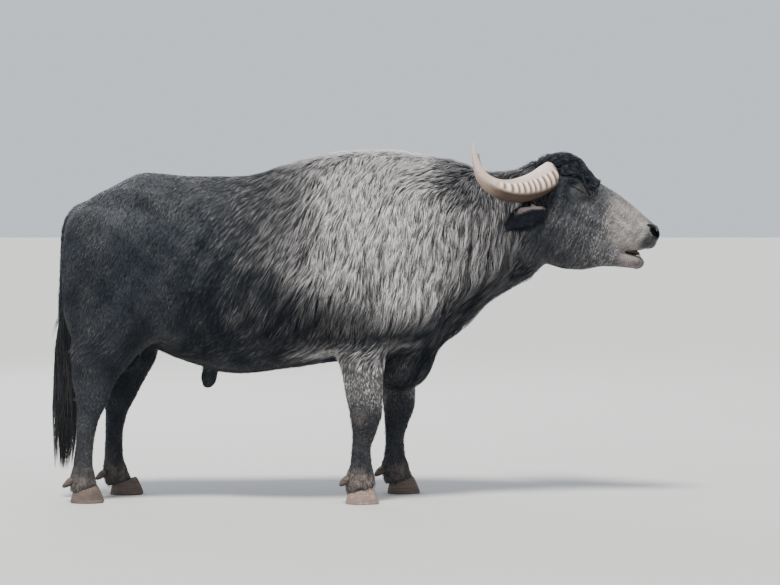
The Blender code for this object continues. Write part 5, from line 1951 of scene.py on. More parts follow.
@dataclass
class Locks:
    """Many locks of hair as arrays: their middle lines, the ways they face, their widths and their tones."""

    spines: Array
    faces_out: Array
    widths: Array
    tones: Array
    roots: Array
    flatness: float

    def piece(self, name: str, flat: Array, marks: dict[str, Array]) -> Piece:
        """All locks as one mesh of closed tapered blades.

        Args:
            name: the piece's name.
            flat: each lock's place on the flat layout.
            marks: numbers for each lock.

        Returns:
            The piece. Each ring is a flat triangle whose width falls as (1 − t)^0.55 along the lock, and
            the last point closes it. Each lock's faces share one small patch of the layout, side by side.
        """
        count, points_along = self.spines.shape[:2]
        segments = points_along - 1
        ahead = unit(np.gradient(self.spines, axis=1))
        side = unit(np.cross(ahead, self.faces_out[:, None]))
        up = np.cross(side, ahead)
        t = np.arange(segments) / segments
        wide = self.widths[:, None] * np.where(t == 0, 0.55, (1 - t) ** 0.55)[None, :]
        wide = wide[..., None]
        middle, side, up = self.spines[:, :-1], side[:, :-1], up[:, :-1]
        ring = np.stack(
            (middle + side * wide / 2, middle - side * wide / 2, middle + up * wide * self.flatness), 2
        )
        points = np.concatenate((ring.reshape(count, -1, 3), self.spines[:, -1:]), 1)
        each = LOCK_SIDES * segments + 1
        quads = tube_faces(segments, LOCK_SIDES)
        k = np.arange(LOCK_SIDES)
        last = LOCK_SIDES * (segments - 1)
        tips = np.stack((last + k, last + (k + 1) % LOCK_SIDES, np.full(LOCK_SIDES, each - 1)), 1)
        cap = np.array([[2, 1, 0]])
        start = (np.arange(count) * each)[:, None, None]
        faces = ((start + quads).reshape(-1, 4), (start + tips).reshape(-1, 3), (start + cap).reshape(-1, 3))
        layout = [self.patches(flat, pattern) for pattern in self.patterns(segments)]
        repeated = {key: np.repeat(mark, each) for key, mark in marks.items()}
        along = np.concatenate((np.repeat(t, LOCK_SIDES), (1.0,)))
        repeated.update(tip=np.tile(along, count), tone=np.repeat(self.tones, each))
        return Piece(name, points.reshape(-1, 3), faces, repeated, np.vstack(layout))

    @staticmethod
    def patches(flat: Array, pattern: Array) -> Array:
        """One pattern of layout corners repeated at each lock's place."""
        return (flat[:, None] + pattern[None] * PATCH).reshape(-1, 2)

    @staticmethod
    def patterns(segments: int) -> tuple[Array, Array, Array]:
        """The layout corners of one lock's quads, tip triangles and root triangle, in shares of its patch."""
        ring, side = np.divmod(np.arange((segments - 1) * LOCK_SIDES), LOCK_SIDES)
        left, right = side / LOCK_SIDES, (side + 1) / LOCK_SIDES
        low, high = ring / segments, (ring + 1) / segments
        quads = np.stack((left, low, right, low, right, high, left, high), 1).reshape(-1, 2)
        k = np.arange(LOCK_SIDES)
        base = np.full(LOCK_SIDES, (segments - 1) / segments)
        tips = np.stack(
            (k / LOCK_SIDES, base, (k + 1) / LOCK_SIDES, base, (k + 0.5) / LOCK_SIDES, base * 0 + 1.0), 1
        ).reshape(-1, 2)
        return quads, tips, np.array(((0.5, -0.3), (1.0, 0.0), (0.0, 0.0)))


@dataclass
class Coat:
    """The hair that grows on the hide."""

    hide: Hide
    seed: int = 20
    root: float = 0.0018  # how far under the hide a lock starts
    height: float = 0.0012  # a led lock's least height over the hide
    led_rise: float = 2.4  # it reaches its full height after one part in this many of its length
    free_rise: float = 1.6  # the same for a lock that isn't led
    free_height: float = 0.0028
    flare: float = 0.004  # how much higher the hair stands over the claws

    def grow(self, style: LockStyle, weight: Field, rng: Random) -> Locks:
        """Locks on one part of the hide.

        Args:
            style: how they grow.
            weight: the share of the style's density at each place.
            rng: the seeded source of numbers.

        Returns:
            The locks. Each starts under the hide and walks along the lie of the coat in equal steps. A led
            lock is drawn to its height over the hide after each step, and a clump's tips draw towards its
            first lock.
        """
        centres, outward = self.hide.drop(rng, weight, style.density, style.clump)
        clumps = len(centres)
        roots, normals = centres.repeat(style.clump, 0), outward.repeat(style.clump, 0)
        if style.clump > 1:
            aside = tangent(rng.normal(size=roots.shape), normals)
            reach = style.clump_radius * np.sqrt(rng.uniform(0, 1, len(roots)))
            reach[:: style.clump] = 0
            roots = roots + aside * reach[:, None]
            height, normals = self.hide.lattice.look(roots)
            roots = roots - normals * height[:, None]
        count = len(roots)
        length = Growth.length(roots) * style.length * (1 + style.variety * rng.uniform(-1, 1, count))
        depth = PLAN.coat_depth(roots) * style.lift * rng.uniform(0.25, 1.05, count)
        depth += self.flare * ramp(0.105, 0.085, roots[:, 2])
        angle = (rng.normal(size=clumps) * style.stray).repeat(style.clump)
        angle += rng.normal(size=count) * style.stray * 0.6
        phase = rng.uniform(0, TURN, clumps).repeat(style.clump) + rng.normal(size=count) * 0.4
        tone = 0.35 * rng.uniform(0, 1, clumps).repeat(style.clump) + 0.65 * rng.uniform(0, 1, count)
        if any(style.streak):
            streaks = Growth.streaks(roots, style.streak)
            tone = 0.5 * tone + 0.5 * streaks
            depth *= (0.45 + 0.55 * streaks) * np.clip(1 - 20 * np.maximum(PLAN.folded(roots), 0), 0.3, 1)
        spot = roots - normals * self.root
        line, out = [spot], normals
        for k in range(1, style.segments + 1):
            share = k / style.segments
            way = Lie.way(spot, out)
            swing = angle + style.wave * np.sin(TURN * style.curls * share + phase)
            way = way * np.cos(swing)[:, None] + np.cross(out, way) * np.sin(swing)[:, None]
            spot = spot + way * (length / style.segments)[:, None]
            target = self.height + depth * min(1.0, self.led_rise * share)
            if style.follows:
                height, out = self.hide.lattice.look(spot)
                push = target - height
                push = np.where(push > 0, push, push * (1 - style.loose))
                spot = spot + out * push[:, None]
            else:
                before = share - 1 / style.segments
                risen = min(1.0, self.free_rise * share) - min(1.0, self.free_rise * before)
                spot = spot + normals * (risen * (0.7 * depth + self.free_height))[:, None]
            line.append(spot)
        spines = np.stack(line, 1)
        if style.clump > 1:
            grouped = spines.reshape(clumps, style.clump, style.segments + 1, 3)
            pull = style.gather * (np.arange(style.segments + 1) / style.segments) ** 1.3
            grouped = grouped + (grouped[:, :1] - grouped) * pull[None, None, :, None]
            spines = grouped.reshape(count, style.segments + 1, 3)
        width = style.width * (1 + 0.3 * rng.uniform(-1, 1, count))
        return Locks(spines, normals, width, tone, roots, style.flatness)

    def build(self, name: str, style: LockStyle, weight: Field, unwrap: Unwrap, finish: Material) -> None:
        """One piece of the coat."""
        locks = self.grow(style, weight, np.random.default_rng([self.seed, *name.encode()]))
        locks.piece(name, unwrap.flat(locks.roots), Markings.for_hair(locks.roots)).place(finish, "coat")


def body_part(side: Side, rear: float, fore: float) -> Field:
    """The share of a stretch of the body on one side, without head, tail and legs."""

    def weight(points: Array) -> Array:
        """1 inside the stretch, fading over 20 cm at its ends and where head and legs begin."""
        x, y, _ = points.T
        inside = (np.sign(y) == side.value) * ramp(rear - 0.1, rear + 0.1, x)
        inside = inside * ramp(fore + 0.1, fore - 0.1, x)
        tail = ramp(-1.135, -1.15, x) * ramp(0.05, 0.03, np.abs(y))
        bare = np.maximum(tail, Region.ears(points)) if fore > 0.5 else tail
        return inside * (1 - Region.head(points)) * (1 - 0.9 * Region.leg(points)) * (1 - bare)

    return weight


def head_part(side: Side) -> Field:
    """The share of the short-haired face on one side."""

    def weight(points: Array) -> Array:
        """Fades into the mop, the bare nose and lips, and the lids."""
        local = HEAD.inside(points)
        bare = np.maximum(np.clip(2 * Markings.wet(points), 0, 1), 0.85 * Markings.pink(points))
        bare = np.maximum(bare, Region.ears(points))
        eye = np.linalg.norm(PLAN.eye.around(local, side.value) * (0.8, 1, 1), axis=1)
        inside = (np.sign(local[:, 1]) == side.value) * Region.head(points) * (1 - Region.tuft(points))
        return inside * (1 - bare) * ramp(0.032, 0.044, eye)

    return weight


def leg_part(side: Side) -> Field:
    """The share of both legs on one side, down to the claws."""

    def weight(points: Array) -> Array:
        """1 on the legs, and nothing under the pasterns."""
        return (np.sign(points[:, 1]) == side.value) * Region.leg(points) * (points[:, 2] > 0.052)

    return weight


# --- horns, ears, eyes, teeth, claws and tail ---


@dataclass(frozen=True)
class Horn:
    """One swept-back horn: flat above, ridged on its outer face, brown below."""

    side: Side
    rings: int = 300
    sides: int = 44
    triangle: float = 0.09  # how far its section leans from an oval towards a triangle
    corner: float = 90.0  # degrees from the top to the corner between the ridged face and the underside
    ridged: float = 58.0  # degrees from the top to the middle of the ridged face
    ridge_gap: float = 0.031
    ridge_height: float = 0.005
    length: float = 0.565

    def build(self, finish: Material) -> None:
        """The horn. Its ridges are a cosine crest to the power 0.9, highest on the outer face."""
        sweep = Sweep(HORN, self.rings, self.side.value)
        angle, reach = spokes(self.sides), np.linspace(0, 1, self.rings)[:, None]
        toward = np.degrees(np.arctan2(np.sin(angle) * self.side.value, np.cos(angle)))
        lean = 1 + self.triangle * np.cos(3 * np.radians(toward - self.corner))
        face = np.exp(-(((toward - self.ridged) / 29) ** 4)) + 0.06 * ramp(20, 60, np.abs(toward))
        walked = reach * self.length
        slow = 0.0022 * np.sin(walked * 31) + 0.0016 * np.sin(walked * 67 + 1)
        crest = (0.5 + 0.5 * np.cos(TURN * (walked + slow) / self.ridge_gap + 0.5 * np.cos(angle))) ** 0.9
        fade = ramp(0.72, 0.5, reach) * ramp(0.02, 0.07, reach)
        height = self.ridge_height * face * fade * (crest - 0.6)
        wide, thick = (lean + height / half[:, None] for half in sweep.frames()[3:])
        around = toward % 360
        under = ramp(self.corner - 5, self.corner + 4, around) * ramp(250, 215, around)
        piece = Piece.tube(
            f"horn_shell_{self.side.word}",
            HEAD.outside(sweep.rings(np.cos(angle) * wide, np.sin(angle) * thick)),
            # ridge marks crests for painted highlights and hollows for painted shade; under marks the
            # underside, darker partly as painted shade; flat marks the top face near the root, painted paler
            ridge=0.5 + (crest - 0.5) * np.clip(face * fade * 1.1, 0, 1),
            under=under * ramp(0.8, 0.55, reach),
            flat=ramp(48, 22, np.abs(toward + 6)) * ramp(0.55, 0.25, reach),
            reach=reach,
            growth=np.stack(np.broadcast_arrays(np.cos(angle), np.sin(angle), walked), 2),
        )
        piece.place(finish, "horn", (f"horn_{self.side.word}",))


@dataclass(frozen=True)
class Ear:
    """The hair of one hanging ear."""

    side: Side
    rings: int = 64
    sides: int = 40
    hairs: int = 2700
    fringe: int = 520

    def grid(self) -> Array:
        """The leaf's rings in the world, on its skin."""
        shape, angle = PLAN.ear, spokes(self.sides)
        sweep = shape.sweep(self.side.value, self.rings)
        half_wide, half_thick = (half[:, None] for half in sweep.frames()[3:])
        wide = np.cos(angle) * (1 - 0.6 * shape.thin / half_wide)
        thick = np.sin(angle) * np.maximum(1 - shape.thin / half_thick, 0.3)
        reach = np.linspace(0, 1, self.rings)[:, None]
        return HEAD.outside(sweep.rings(wide, thick, shape.bend(reach, np.cos(angle), self.side.value)))

    def hair(self, rng: Random) -> Locks:
        """Short hair along the leaf, thin on its bare upper rim, and a longer fringe under its lower edge."""
        rings = self.grid()
        count = self.hairs + self.fringe
        reach = rng.uniform(0.1, 0.97, count) * (self.rings - 2)
        turn = rng.uniform(0, self.sides, count)
        turn[self.hairs :] = self.sides // 2 + rng.normal(size=self.fringe) * 1.6
        ring, spoke = reach.astype(int), turn.astype(int) % self.sides
        share = (reach - ring)[:, None]
        root = rings[ring, spoke] * (1 - share) + rings[ring + 1, spoke] * share
        ahead = unit(rings[ring + 1, spoke] - rings[ring, spoke])
        around = unit(rings[ring, (spoke + 1) % self.sides] - rings[ring, spoke])
        out = unit(np.cross(around, ahead))
        out = out * np.sign((out * (root - rings[ring].mean(1))).sum(1))[:, None]
        hangs = np.arange(count) >= self.hairs
        length = np.where(hangs, rng.uniform(0.012, 0.028, count), rng.uniform(0.008, 0.016, count))
        down, led = np.array((-0.25, 0.0, -1.0)), hangs[:, None]
        way = np.where(led, 0.8 * ahead + 0.7 * down, ahead + 0.25 * down)
        way = unit(way + rng.normal(size=(count, 3)) * 0.16)
        way = np.where(led, way, tangent(way, out))
        rise = np.where(led, 0.002, 0.0034) * out
        line = [root - 0.001 * out + way * (length * t)[:, None] + rise * t for t in (0.0, 0.35, 0.7, 1.0)]
        spines, width = np.stack(line, 1), np.where(hangs, 0.0026, 0.0028) * rng.uniform(0.7, 1.3, count)
        tone = rng.uniform(0, 1, count)
        kept = rng.uniform(0, 1, count) > 0.93 * PLAN.ear.rim(HEAD.inside(root))
        return Locks(spines[kept], out[kept], width[kept], tone[kept], root[kept], 0.4)

    def build(self, hair: Material) -> None:
        """The hair as a piece."""
        locks = self.hair(np.random.default_rng(70 + self.side.value))
        u, _, w = HEAD.inside(locks.roots).T
        piece = locks.piece(f"coat_ear_{self.side.word}", spread_out(w, u), plain_marks(len(u), 0.0))
        piece.place(hair, "coat")


@dataclass(frozen=True)
class Eye:
    """One eyeball behind its lids, with the wet rim of the lids and the lashes."""

    side: Side
    rings: int = 40
    sides: int = 56
    cornea: float = -0.02
    iris: float = 0.7  # radians from the eye's axis
    pupil: tuple[float, float] = (0.0085, 0.0035)  # half sizes, along the slit and across it
    rim_radius: float = 0.0016
    rim_points: int = 96
    lashes: int = 34

    def place(self, shaped: Array) -> Array:
        """Points along the slit, outwards and up across it, in the world."""
        c, s = math.cos(PLAN.eye.slant), math.sin(PLAN.eye.slant)
        along, out, up = np.moveaxis(shaped, -1, 0)
        local = np.stack((along * c + up * s, out * self.side.value, up * c - along * s), -1)
        return HEAD.outside(local + np.array(EYE_AT) * (1, self.side.value, 1))

    def ball(self, finish: Material) -> None:
        """The eyeball: a sphere whose front swells by cornea × exp(−(angle from the axis ÷ 0.5)²)."""
        tilt, angle = np.linspace(0.02, math.pi - 0.02, self.rings)[:, None], spokes(self.sides)
        radius = EYE_RADIUS * (1 + self.cornea * bell(tilt / 0.5))
        along, up = radius * np.sin(tilt) * np.cos(angle), radius * np.sin(tilt) * np.sin(angle)
        out = radius * np.cos(tilt) + 0 * angle
        slot = np.hypot(along / self.pupil[0], up / self.pupil[1])
        piece = Piece.tube(
            f"eyeball_{self.side.word}",
            self.place(np.stack((along, out, up), 2)),
            iris=ramp(self.iris + 0.05, self.iris - 0.05, tilt),
            pupil=ramp(1.2, 0.8, slot) * (out > 0),
        )
        piece.place(finish, "eye", (f"eye_{self.side.word}",))

    def margin(self, turn: Array) -> Array:
        """The lids' edge on the lid ball, by an angle round the almond, as places along, out and up."""
        lids = PLAN.eye
        along = lids.half_length * np.cos(turn)
        bow = 1 - (along / lids.half_length) ** 2
        up = np.where(np.sin(turn) > 0, lids.rise, -lids.drop) * bow
        return np.stack((along, np.sqrt(lids.lid_radius**2 - along**2 - up**2) - 0.0009, up), -1)

    def rim(self, finish: Material) -> None:
        """The rounded wet edge of both lids: a thin tube round the almond."""
        turn, round_it = spokes(self.rim_points)[0], spokes(12)[..., None]
        path = self.margin(turn)
        out = unit(path)
        side = np.cross(unit(np.roll(path, -1, 0) - np.roll(path, 1, 0)), out)
        radius = (self.rim_radius * (0.75 + 0.35 * np.sin(turn) ** 2))[:, None, None]
        rings = np.cos(round_it) * out[:, None] + 0.8 * np.sin(round_it) * side[:, None]
        points = self.place(path[:, None] + radius * rings).reshape(-1, 3)
        faces = turned_out(points, (tube_faces(self.rim_points, 12, wrap=True),))
        Piece(f"lid_rim_{self.side.word}", points, faces).place(finish, None)

    def lash_locks(self, rng: Random) -> Locks:
        """The upper lashes: fine hairs that leave the rim outwards and bend down."""
        turn = np.linspace(0.25, math.pi - 0.25, self.lashes) + rng.normal(size=self.lashes) * 0.03
        root, up = self.margin(turn), np.array((0.0, 0.0, 1.0))
        length = rng.uniform(0.009, 0.015, self.lashes)[:, None]
        way = unit(root * (1.0, 1.0, 0.0) + rng.normal(size=root.shape) * 0.003)
        line = [root + way * length * t + -up * length * 0.55 * t * t for t in (0, 0.35, 0.7, 1)]
        spines, facing = self.place(np.stack(line, 1)), np.tile(HEAD.turned(up), (self.lashes, 1))
        width, tone = np.full(self.lashes, 0.0007), rng.uniform(0, 0.4, self.lashes)
        return Locks(spines, facing, width, tone, spines[:, 0], 0.6)

    def build(self, ball: Material, wet: Material, hair: Material) -> None:
        """The eyeball, its rim and its lashes."""
        self.ball(ball)
        self.rim(wet)
        locks = self.lash_locks(np.random.default_rng(80 + self.side.value))
        flat = spread_out(locks.roots[:, 0], np.random.default_rng(5).uniform(0, 1, self.lashes))
        locks.piece(f"coat_lashes_{self.side.word}", flat, plain_marks(self.lashes, 0.02)).place(hair, "coat")


@dataclass(frozen=True)
class Teeth:
    """The front teeth of the lower jaw, side by side along its rim."""

    arc: Triple = (0.4, 0.03, -0.0525)  # in the head's frame: centre forwards, radius, height
    size: Triple = (0.0068, 0.0078, 0.026)
    count: int = 6
    fan: float = 110.0  # degrees that they span

    def build(self, finish: Material) -> None:
        """All teeth as one mesh: rounded blades whose section is a superellipse and narrows to the edge."""
        start, radius, height = self.arc
        rise, angle = np.linspace(-1, 1, 14)[:, None], spokes(20)
        taper = (1 - np.abs(rise) ** 6) ** (1 / 3) * (1 - 0.35 * ramp(0.2, 1, rise))
        deep, across = (np.sign(wave) * np.abs(wave) ** 0.7 for wave in (np.cos(angle), np.sin(angle)))
        u = self.size[0] / 2 * deep * np.maximum(taper, 0.05)
        v = self.size[1] / 2 * 0.94 * across * (0.82 + 0.18 * ramp(-0.4, 0.8, rise))
        w = self.size[2] / 2 * rise + 0 * angle
        teeth = []
        for k in range(self.count):
            turn = math.radians(self.fan * ((k + 0.5) / self.count - 0.5))
            c, s = math.cos(turn), math.sin(turn)
            place = (start + (radius + u) * c - v * s, (radius + u) * s + v * c, height + w)
            teeth.append(tube_mesh(HEAD.outside(np.stack(place, 2))))
        each = len(teeth[0][0])
        faces = [np.vstack([tooth[1][i] + k * each for k, tooth in enumerate(teeth)]) for i in range(2)]
        Piece("teeth", np.vstack([tooth[0] for tooth in teeth]), faces).place(finish, None)


@dataclass(frozen=True)
class Tongue:
    """The tongue, which fills the open mouth behind the teeth."""

    stations: tuple[Station, ...] = (
        Station(0.33, 0.0, -0.044, 0.01, 0.028),
        Station(0.365, 0.0, -0.042, 0.013, 0.032),
        Station(0.392, 0.0, -0.037, 0.012, 0.031),
        Station(0.41, 0.0, -0.035, 0.009, 0.026),
        Station(0.421, 0.0, -0.036, 0.006, 0.017),
        Station(0.426, 0.0, -0.037, 0.001, 0.003),
    )

    def build(self, finish: Material) -> None:
        """The tongue: ovals along its middle line with a shallow groove on top."""
        angle = spokes(32)
        groove = 1 - 0.15 * bell(np.sin(angle) / 0.3) * (np.cos(angle) > 0)
        rings = Sweep(self.stations, 40).rings(np.cos(angle) * groove, np.sin(angle))
        Piece.tube("tongue", HEAD.outside(rings)).place(finish, None)


@dataclass(frozen=True)
class Claws:
    """The two claws and two dewclaws of one foot."""

    foot: Foot
    levels: int = 26
    sides: int = 48
    shrink: float = 0.71  # the top's size over the sole's
    lean: float = 0.01
    growth: float = 0.0003
    dewclaw: tuple[float, float] = (0.052, 0.014)  # length and radius
    dewclaw_spread: float = 0.027
    dewclaw_drop: float = 0.006
    dewclaw_root: float = 0.72

    def claw(self, side: Side) -> Array:
        """One claw's rings: D-shaped levels from the flat sole to the sloping top, with growth rings."""
        angle, level = spokes(self.sides), np.linspace(0, 1, self.levels)[:, None] ** 1.3
        along, across = np.cos(angle), np.sin(angle)
        pointed = along * (1 - 0.1 * np.abs(across))
        outward = np.where(across > 0, 1.0, 0.42) * across * (1 - 0.22 * np.maximum(along, 0) ** 2)
        ring = self.growth * np.cos(TURN * level * 9 + 0.6 * along) * ramp(0.05, 0.2, level) / 0.05
        size = 1 - (1 - self.shrink) * level**1.2 - 0.035 * bell(level / 0.035)
        size = size + ring - 0.05 * ramp(0.9, 1.0, level)
        x = self.foot.x - self.lean * level + pointed * CLAW_LENGTH / 2 * size
        inner = CLAW_SPREAD + 0.42 * CLAW_WIDTH / 1.42
        y = self.foot.y + side.value * (inner + outward * CLAW_WIDTH / 1.42 * size)
        top = CLAW_BACK + (CLAW_FRONT - CLAW_BACK) * ((x - self.foot.x) / CLAW_LENGTH + 0.5)
        return np.stack((x, y, level * top), 2)

    def spur(self, side: Side) -> Array:
        """One dewclaw's rings: a blunt cone that points back and down from behind the fetlock."""
        thickness, joints = LEGS[self.foot.leg]
        back, (length, radius) = -thickness[-2].half_depth * self.dewclaw_root, self.dewclaw
        root = np.array(joints[-2]) + (back, side.value * self.dewclaw_spread, -self.dewclaw_drop)
        way = np.array((-0.8, side.value * 0.12, -0.58))
        shape = ((0.0, 0.95), (0.45, 1.0), (0.85, 0.62), (1.0, 0.2))
        line = tuple(Station(*(root + way * length * share), *[radius * wide] * 2) for share, wide in shape)
        angle = spokes(20)
        return Sweep(line, 14).rings(np.cos(angle), np.sin(angle))

    def build(self, finish: Material) -> None:
        """All four, each standing for its own node."""
        scuffed = 1.0 if self.foot.leg == "foreleg_right" else 0.22
        for side in Side:
            for kind, rings, worn in (("claw", self.claw(side), scuffed), ("dewclaw", self.spur(side), 0.0)):
                node = f"{self.foot.leg}_{kind}_{side.word}"
                Piece.tube(f"{node}_horn", rings, scuff=np.array([[worn]])).place(finish, "hoof", (node,))


@dataclass(frozen=True)
class Switch:
    """The loose black hair at the end of the tail."""

    strands: int = 1150
    wisps: int = 34
    segments: int = 8
    width: float = 0.003

    def locks(self, rng: Random) -> Locks:
        """Strands that leave the tail all round and hang inside the switch's outline.

        Strands belong to wisps: each wisp has its own side, its own place between the middle line and the
        outline, and its own end. A strand starts on its own side and nears its wisp as it falls.

        Args:
            rng: the seeded source of numbers.

        Returns:
            The strands.
        """
        line = smooth_stations(SWITCH, 60)
        depth = np.linspace(0, 1, 60)
        full = ramp(0.5, 0.85, depth)[:, None] * 0.7
        line[:, 3:] = line[:, 3:] * (1 - full) + line[:, 3:].max(0) * full
        wisp = rng.integers(0, self.wisps, self.strands)
        wisp_turn, wisp_out = rng.uniform(0, TURN, self.wisps), np.sqrt(rng.uniform(0.02, 1.0, self.wisps))
        wisp_end = 0.82 + 0.24 * rng.uniform(0, 1, self.wisps)
        start = rng.uniform(0.0, 0.4, self.strands) ** 1.3
        end = np.clip(wisp_end[wisp] - np.abs(rng.normal(size=self.strands)) * 0.045, start + 0.25, 1)
        share = np.linspace(0, 1, self.segments + 1)[None]
        level = start[:, None] + (end - start)[:, None] * share
        at = np.stack([np.interp(level, depth, column) for column in line.T], -1)
        leaves = ramp(-0.1, 0.35, share)
        loose = 1 - 0.9 * ramp(0.15, 0.95, share)
        out = wisp_out[wisp][:, None] + rng.normal(size=(self.strands, 1)) * 0.35 * loose
        spread = np.clip(out, 0.05, 1.0) * leaves + 0.35 * (1 - leaves)
        turn = wisp_turn[wisp] + rng.normal(size=self.strands) * 0.2
        sway = 0.18 * np.sin(share * 6 + 9.0 * wisp_turn[wisp][:, None])
        sway += 0.08 * np.sin(share * 17 + turn[:, None] * 5)
        angle = turn[:, None] + rng.normal(size=(self.strands, 1)) * 0.9 * loose + sway
        spines = at[..., :3].copy()
        spines[..., 0] += at[..., 3] * spread * np.cos(angle)
        spines[..., 1] += at[..., 4] * spread * np.sin(angle)
        facing = np.stack((np.cos(turn), np.sin(turn), 0 * turn), 1)
        width = self.width * rng.uniform(0.5, 1.3, self.strands)
        return Locks(spines, facing, width, rng.uniform(0, 1, self.strands), spines[:, 0], 0.5)

    def build(self, finish: Material) -> None:
        """The switch as one piece, which stands for its node."""
        locks = self.locks(np.random.default_rng(90))
        around = np.arctan2(locks.faces_out[:, 1], locks.faces_out[:, 0])
        flat = spread_out(locks.roots[:, 2], around)
        piece = locks.piece("switch_hair", flat, plain_marks(self.strands, 0.4))
        piece.place(finish, "switch_hair", ("tail_switch",))


# --- the studio and the whole animal ---


@dataclass(frozen=True)
class Studio:
    """A pale floor, soft lights and the camera."""

    eye: Triple = (0.139, -15.0, 1.6)
    aim: Triple = (0.139, 0.0, 0.8425)
    lens: float = 169.7
    floor_size: float = 60.0
    floor_colour: Colour = (0.5, 0.49, 0.475)
    sky: Colour = (0.8, 0.86, 0.95)
    sky_strength: float = 0.95

    def floor(self) -> None:
        """The floor: one large plate, a little mottled, its top face at height 0."""
        half, thick = self.floor_size / 2, 0.02
        x, y, z = np.meshgrid((-half, half), (-half, half), (-thick, 0.0), indexing="ij")
        corners = np.stack((x.ravel(), y.ravel(), z.ravel()), 1)
        sides = ((0, 1, 3, 2), (4, 6, 7, 5), (0, 4, 5, 1), (2, 3, 7, 6), (0, 2, 6, 4), (1, 5, 7, 3))
        mesh = bpy.data.meshes.new("floor")
        mesh.from_pydata(corners.tolist(), [], sides)
        paint = Paint("floor")
        mottle = paint.noise(paint.place(), 1.2, 4.0, 0.6)
        darker = tuple(0.93 * k for k in self.floor_colour)
        colour = paint.blend(mottle, self.floor_colour, darker)
        mesh.materials.append(paint.surface(colour, 0.85))
        plate = bpy.data.objects.new("floor", mesh)
        bpy.context.scene.collection.objects.link(plate)

    @staticmethod
    def aimed(thing: Thing, place: Triple, aim: Triple) -> None:
        """Links an object and turns its back to the sky, looking from place to aim."""
        bpy.context.scene.collection.objects.link(thing)
        thing.location = Vector(place) + Vector(SHIFT)
        way = Vector(aim) - Vector(place)
        thing.rotation_euler = way.to_track_quat("-Z", "Y").to_euler()

    def light(self, name: str, place: Triple, size: float, power: float, colour: Colour) -> None:
        """One large soft light that looks at the middle of the animal."""
        lamp = bpy.data.lights.new(name, "AREA")
        lamp.shape, lamp.size, lamp.energy, lamp.color = "DISK", size, power, colour
        self.aimed(bpy.data.objects.new(name, lamp), place, (0.0, 0.0, 0.8))

    def build(self) -> None:
        """Floor, sky, lights and camera."""
        self.floor()
        world = bpy.data.worlds.new("sky")
        world.use_nodes = True
        world.node_tree.nodes["Background"].inputs["Color"].default_value = (*self.sky, 1.0)
        world.node_tree.nodes["Background"].inputs["Strength"].default_value = self.sky_strength
        bpy.context.scene.world = world
        lamp = bpy.data.lights.new("key", "SUN")
        lamp.energy, lamp.angle, lamp.color = 6.2, math.radians(14), (1.0, 0.97, 0.93)
        self.aimed(bpy.data.objects.new("key", lamp), (-1.0, -3.4, 7.0), (0.0, 0.0, 0.0))
        self.light("back", (-2.5, 6.0, 4.5), 4.0, 230.0, (0.9, 0.95, 1.0))
        lens = bpy.data.cameras.new("camera")
        lens.lens, lens.sensor_width, lens.clip_end = self.lens, 36.0, 200.0
        camera = bpy.data.objects.new("camera", lens)
        self.aimed(camera, self.eye, self.aim)
        bpy.context.scene.camera = camera


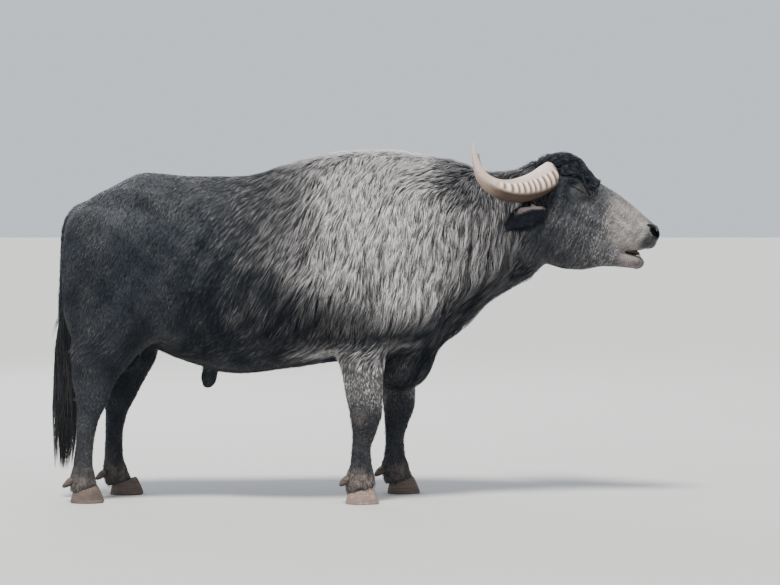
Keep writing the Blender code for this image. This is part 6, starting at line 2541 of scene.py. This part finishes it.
class Buffalo:
    """The whole animal: hide, coat, horns, ears, eyes, teeth, claws and the switch."""

    shag = LockStyle(
        28500, 0.0025, 2, length=1.35, clump=3, clump_radius=0.006, gather=0.3, wave=0.04, stray=0.07,
        streak=(-0.2, 0.0, -0.98),
    )
    neck = replace(
        shag, density=27000, width=0.0024, segments=3, length=1.15, clump=4, clump_radius=0.01, wave=0.06,
        stray=0.06, streak=(-0.14, 0.0, -0.99),
    )
    flank = replace(
        shag, density=23000, width=0.002, length=1.5, wave=0.02, stray=0.06, streak=(-0.46, 0.0, -0.89)
    )
    sleek = LockStyle(19000, 0.0023, 2, length=1.35, stray=0.09, lift=0.6, flatness=0.25, follows=False)
    face = LockStyle(
        36000, 0.0021, 2, stray=0.12, lift=0.7, flatness=0.3, follows=False, streak=(-0.42, 0.0, -0.9)
    )
    mop = LockStyle(
        38000, 0.0026, 5, clump=5, clump_radius=0.009, gather=0.5, wave=0.38, curls=0.9, stray=0.24,
        loose=0.12,
    )
    shin = LockStyle(18000, 0.0028, 2, stray=0.16, lift=0.6, flatness=0.25, follows=False)
    dock = LockStyle(14000, 0.0028, 2, stray=0.15, lift=0.8, follows=False)

    def __init__(self) -> None:
        self.hide = Hide()
        self.coat = Coat(self.hide)
        self.hide_finish = HideFinish().make()
        self.long_hair = HairFinish("long_hair").make()
        self.short_hair = HairFinish("short_hair", reveal=0.8, stray_light=0.035, roughness=0.45).make()

    def build(self) -> None:
        """Makes every piece in order."""
        self.hide.build(self.hide_finish)
        self.grow_coat()
        self.dress_head()
        self.dress_feet()
        self.dress_tail()

    def grow_coat(self) -> None:
        """The hair on the hide, one piece for each stretch of each side."""
        stretches = (
            ("shoulder", self.shag, -0.16, 0.37, self.long_hair),
            ("neck", self.neck, 0.37, 1.5, self.long_hair),
            ("flank", self.flank, -0.72, -0.16, self.long_hair),
            ("quarters", self.sleek, -1.6, -0.72, self.short_hair),
        )
        grow, short = self.coat.build, self.short_hair
        for side in Side:
            for name, style, rear, fore, finish in stretches:
                part = body_part(side, rear, fore)
                grow(f"coat_{name}_{side.word}", style, part, Unwrap.BODY, finish)
            grow(f"coat_face_{side.word}", self.face, head_part(side), Unwrap.HEAD, short)
            grow(f"coat_legs_{side.word}", self.shin, leg_part(side), Unwrap.LEGS, short)
        grow("coat_mop", self.mop, Region.tuft, Unwrap.HEAD, self.long_hair)
        grow("coat_tail", self.dock, Region.tail, Unwrap.BODY, short)

    def dress_head(self) -> None:
        """Horns, ears, eyes and teeth."""
        horn, eye = HornFinish().make(), EyeFinish().make()
        rim = SmoothFinish("lid_rim", (0.012, 0.01, 0.01), (0.03, 0.022, 0.02), 0.22).make()
        for side in Side:
            Horn(side).build(horn)
            Ear(side).build(self.short_hair)
            Eye(side).build(eye, rim, self.short_hair)
        Teeth().build(SmoothFinish("tooth", (0.62, 0.53, 0.36), (0.42, 0.31, 0.17), 0.22, 120.0).make())
        Tongue().build(SmoothFinish("tongue", (0.045, 0.026, 0.026), (0.018, 0.011, 0.012), 0.35).make())

    def dress_feet(self) -> None:
        """Claws and dewclaws."""
        finish = HoofFinish().make()
        for foot in FEET:
            Claws(foot).build(finish)

    @staticmethod
    def dress_tail() -> None:
        """The switch."""
        tip, base = (0.06, 0.057, 0.056), (0.01, 0.011, 0.013)
        Switch().build(HairFinish("switch_hair", tip=tip, base=base, roughness=0.42).make())


def main() -> None:
    """Builds the animal and its studio."""
    logging.basicConfig(level=logging.INFO, format="%(name)s: %(message)s")
    Buffalo().build()
    Studio().build()


if __name__ == "__main__":
    main()
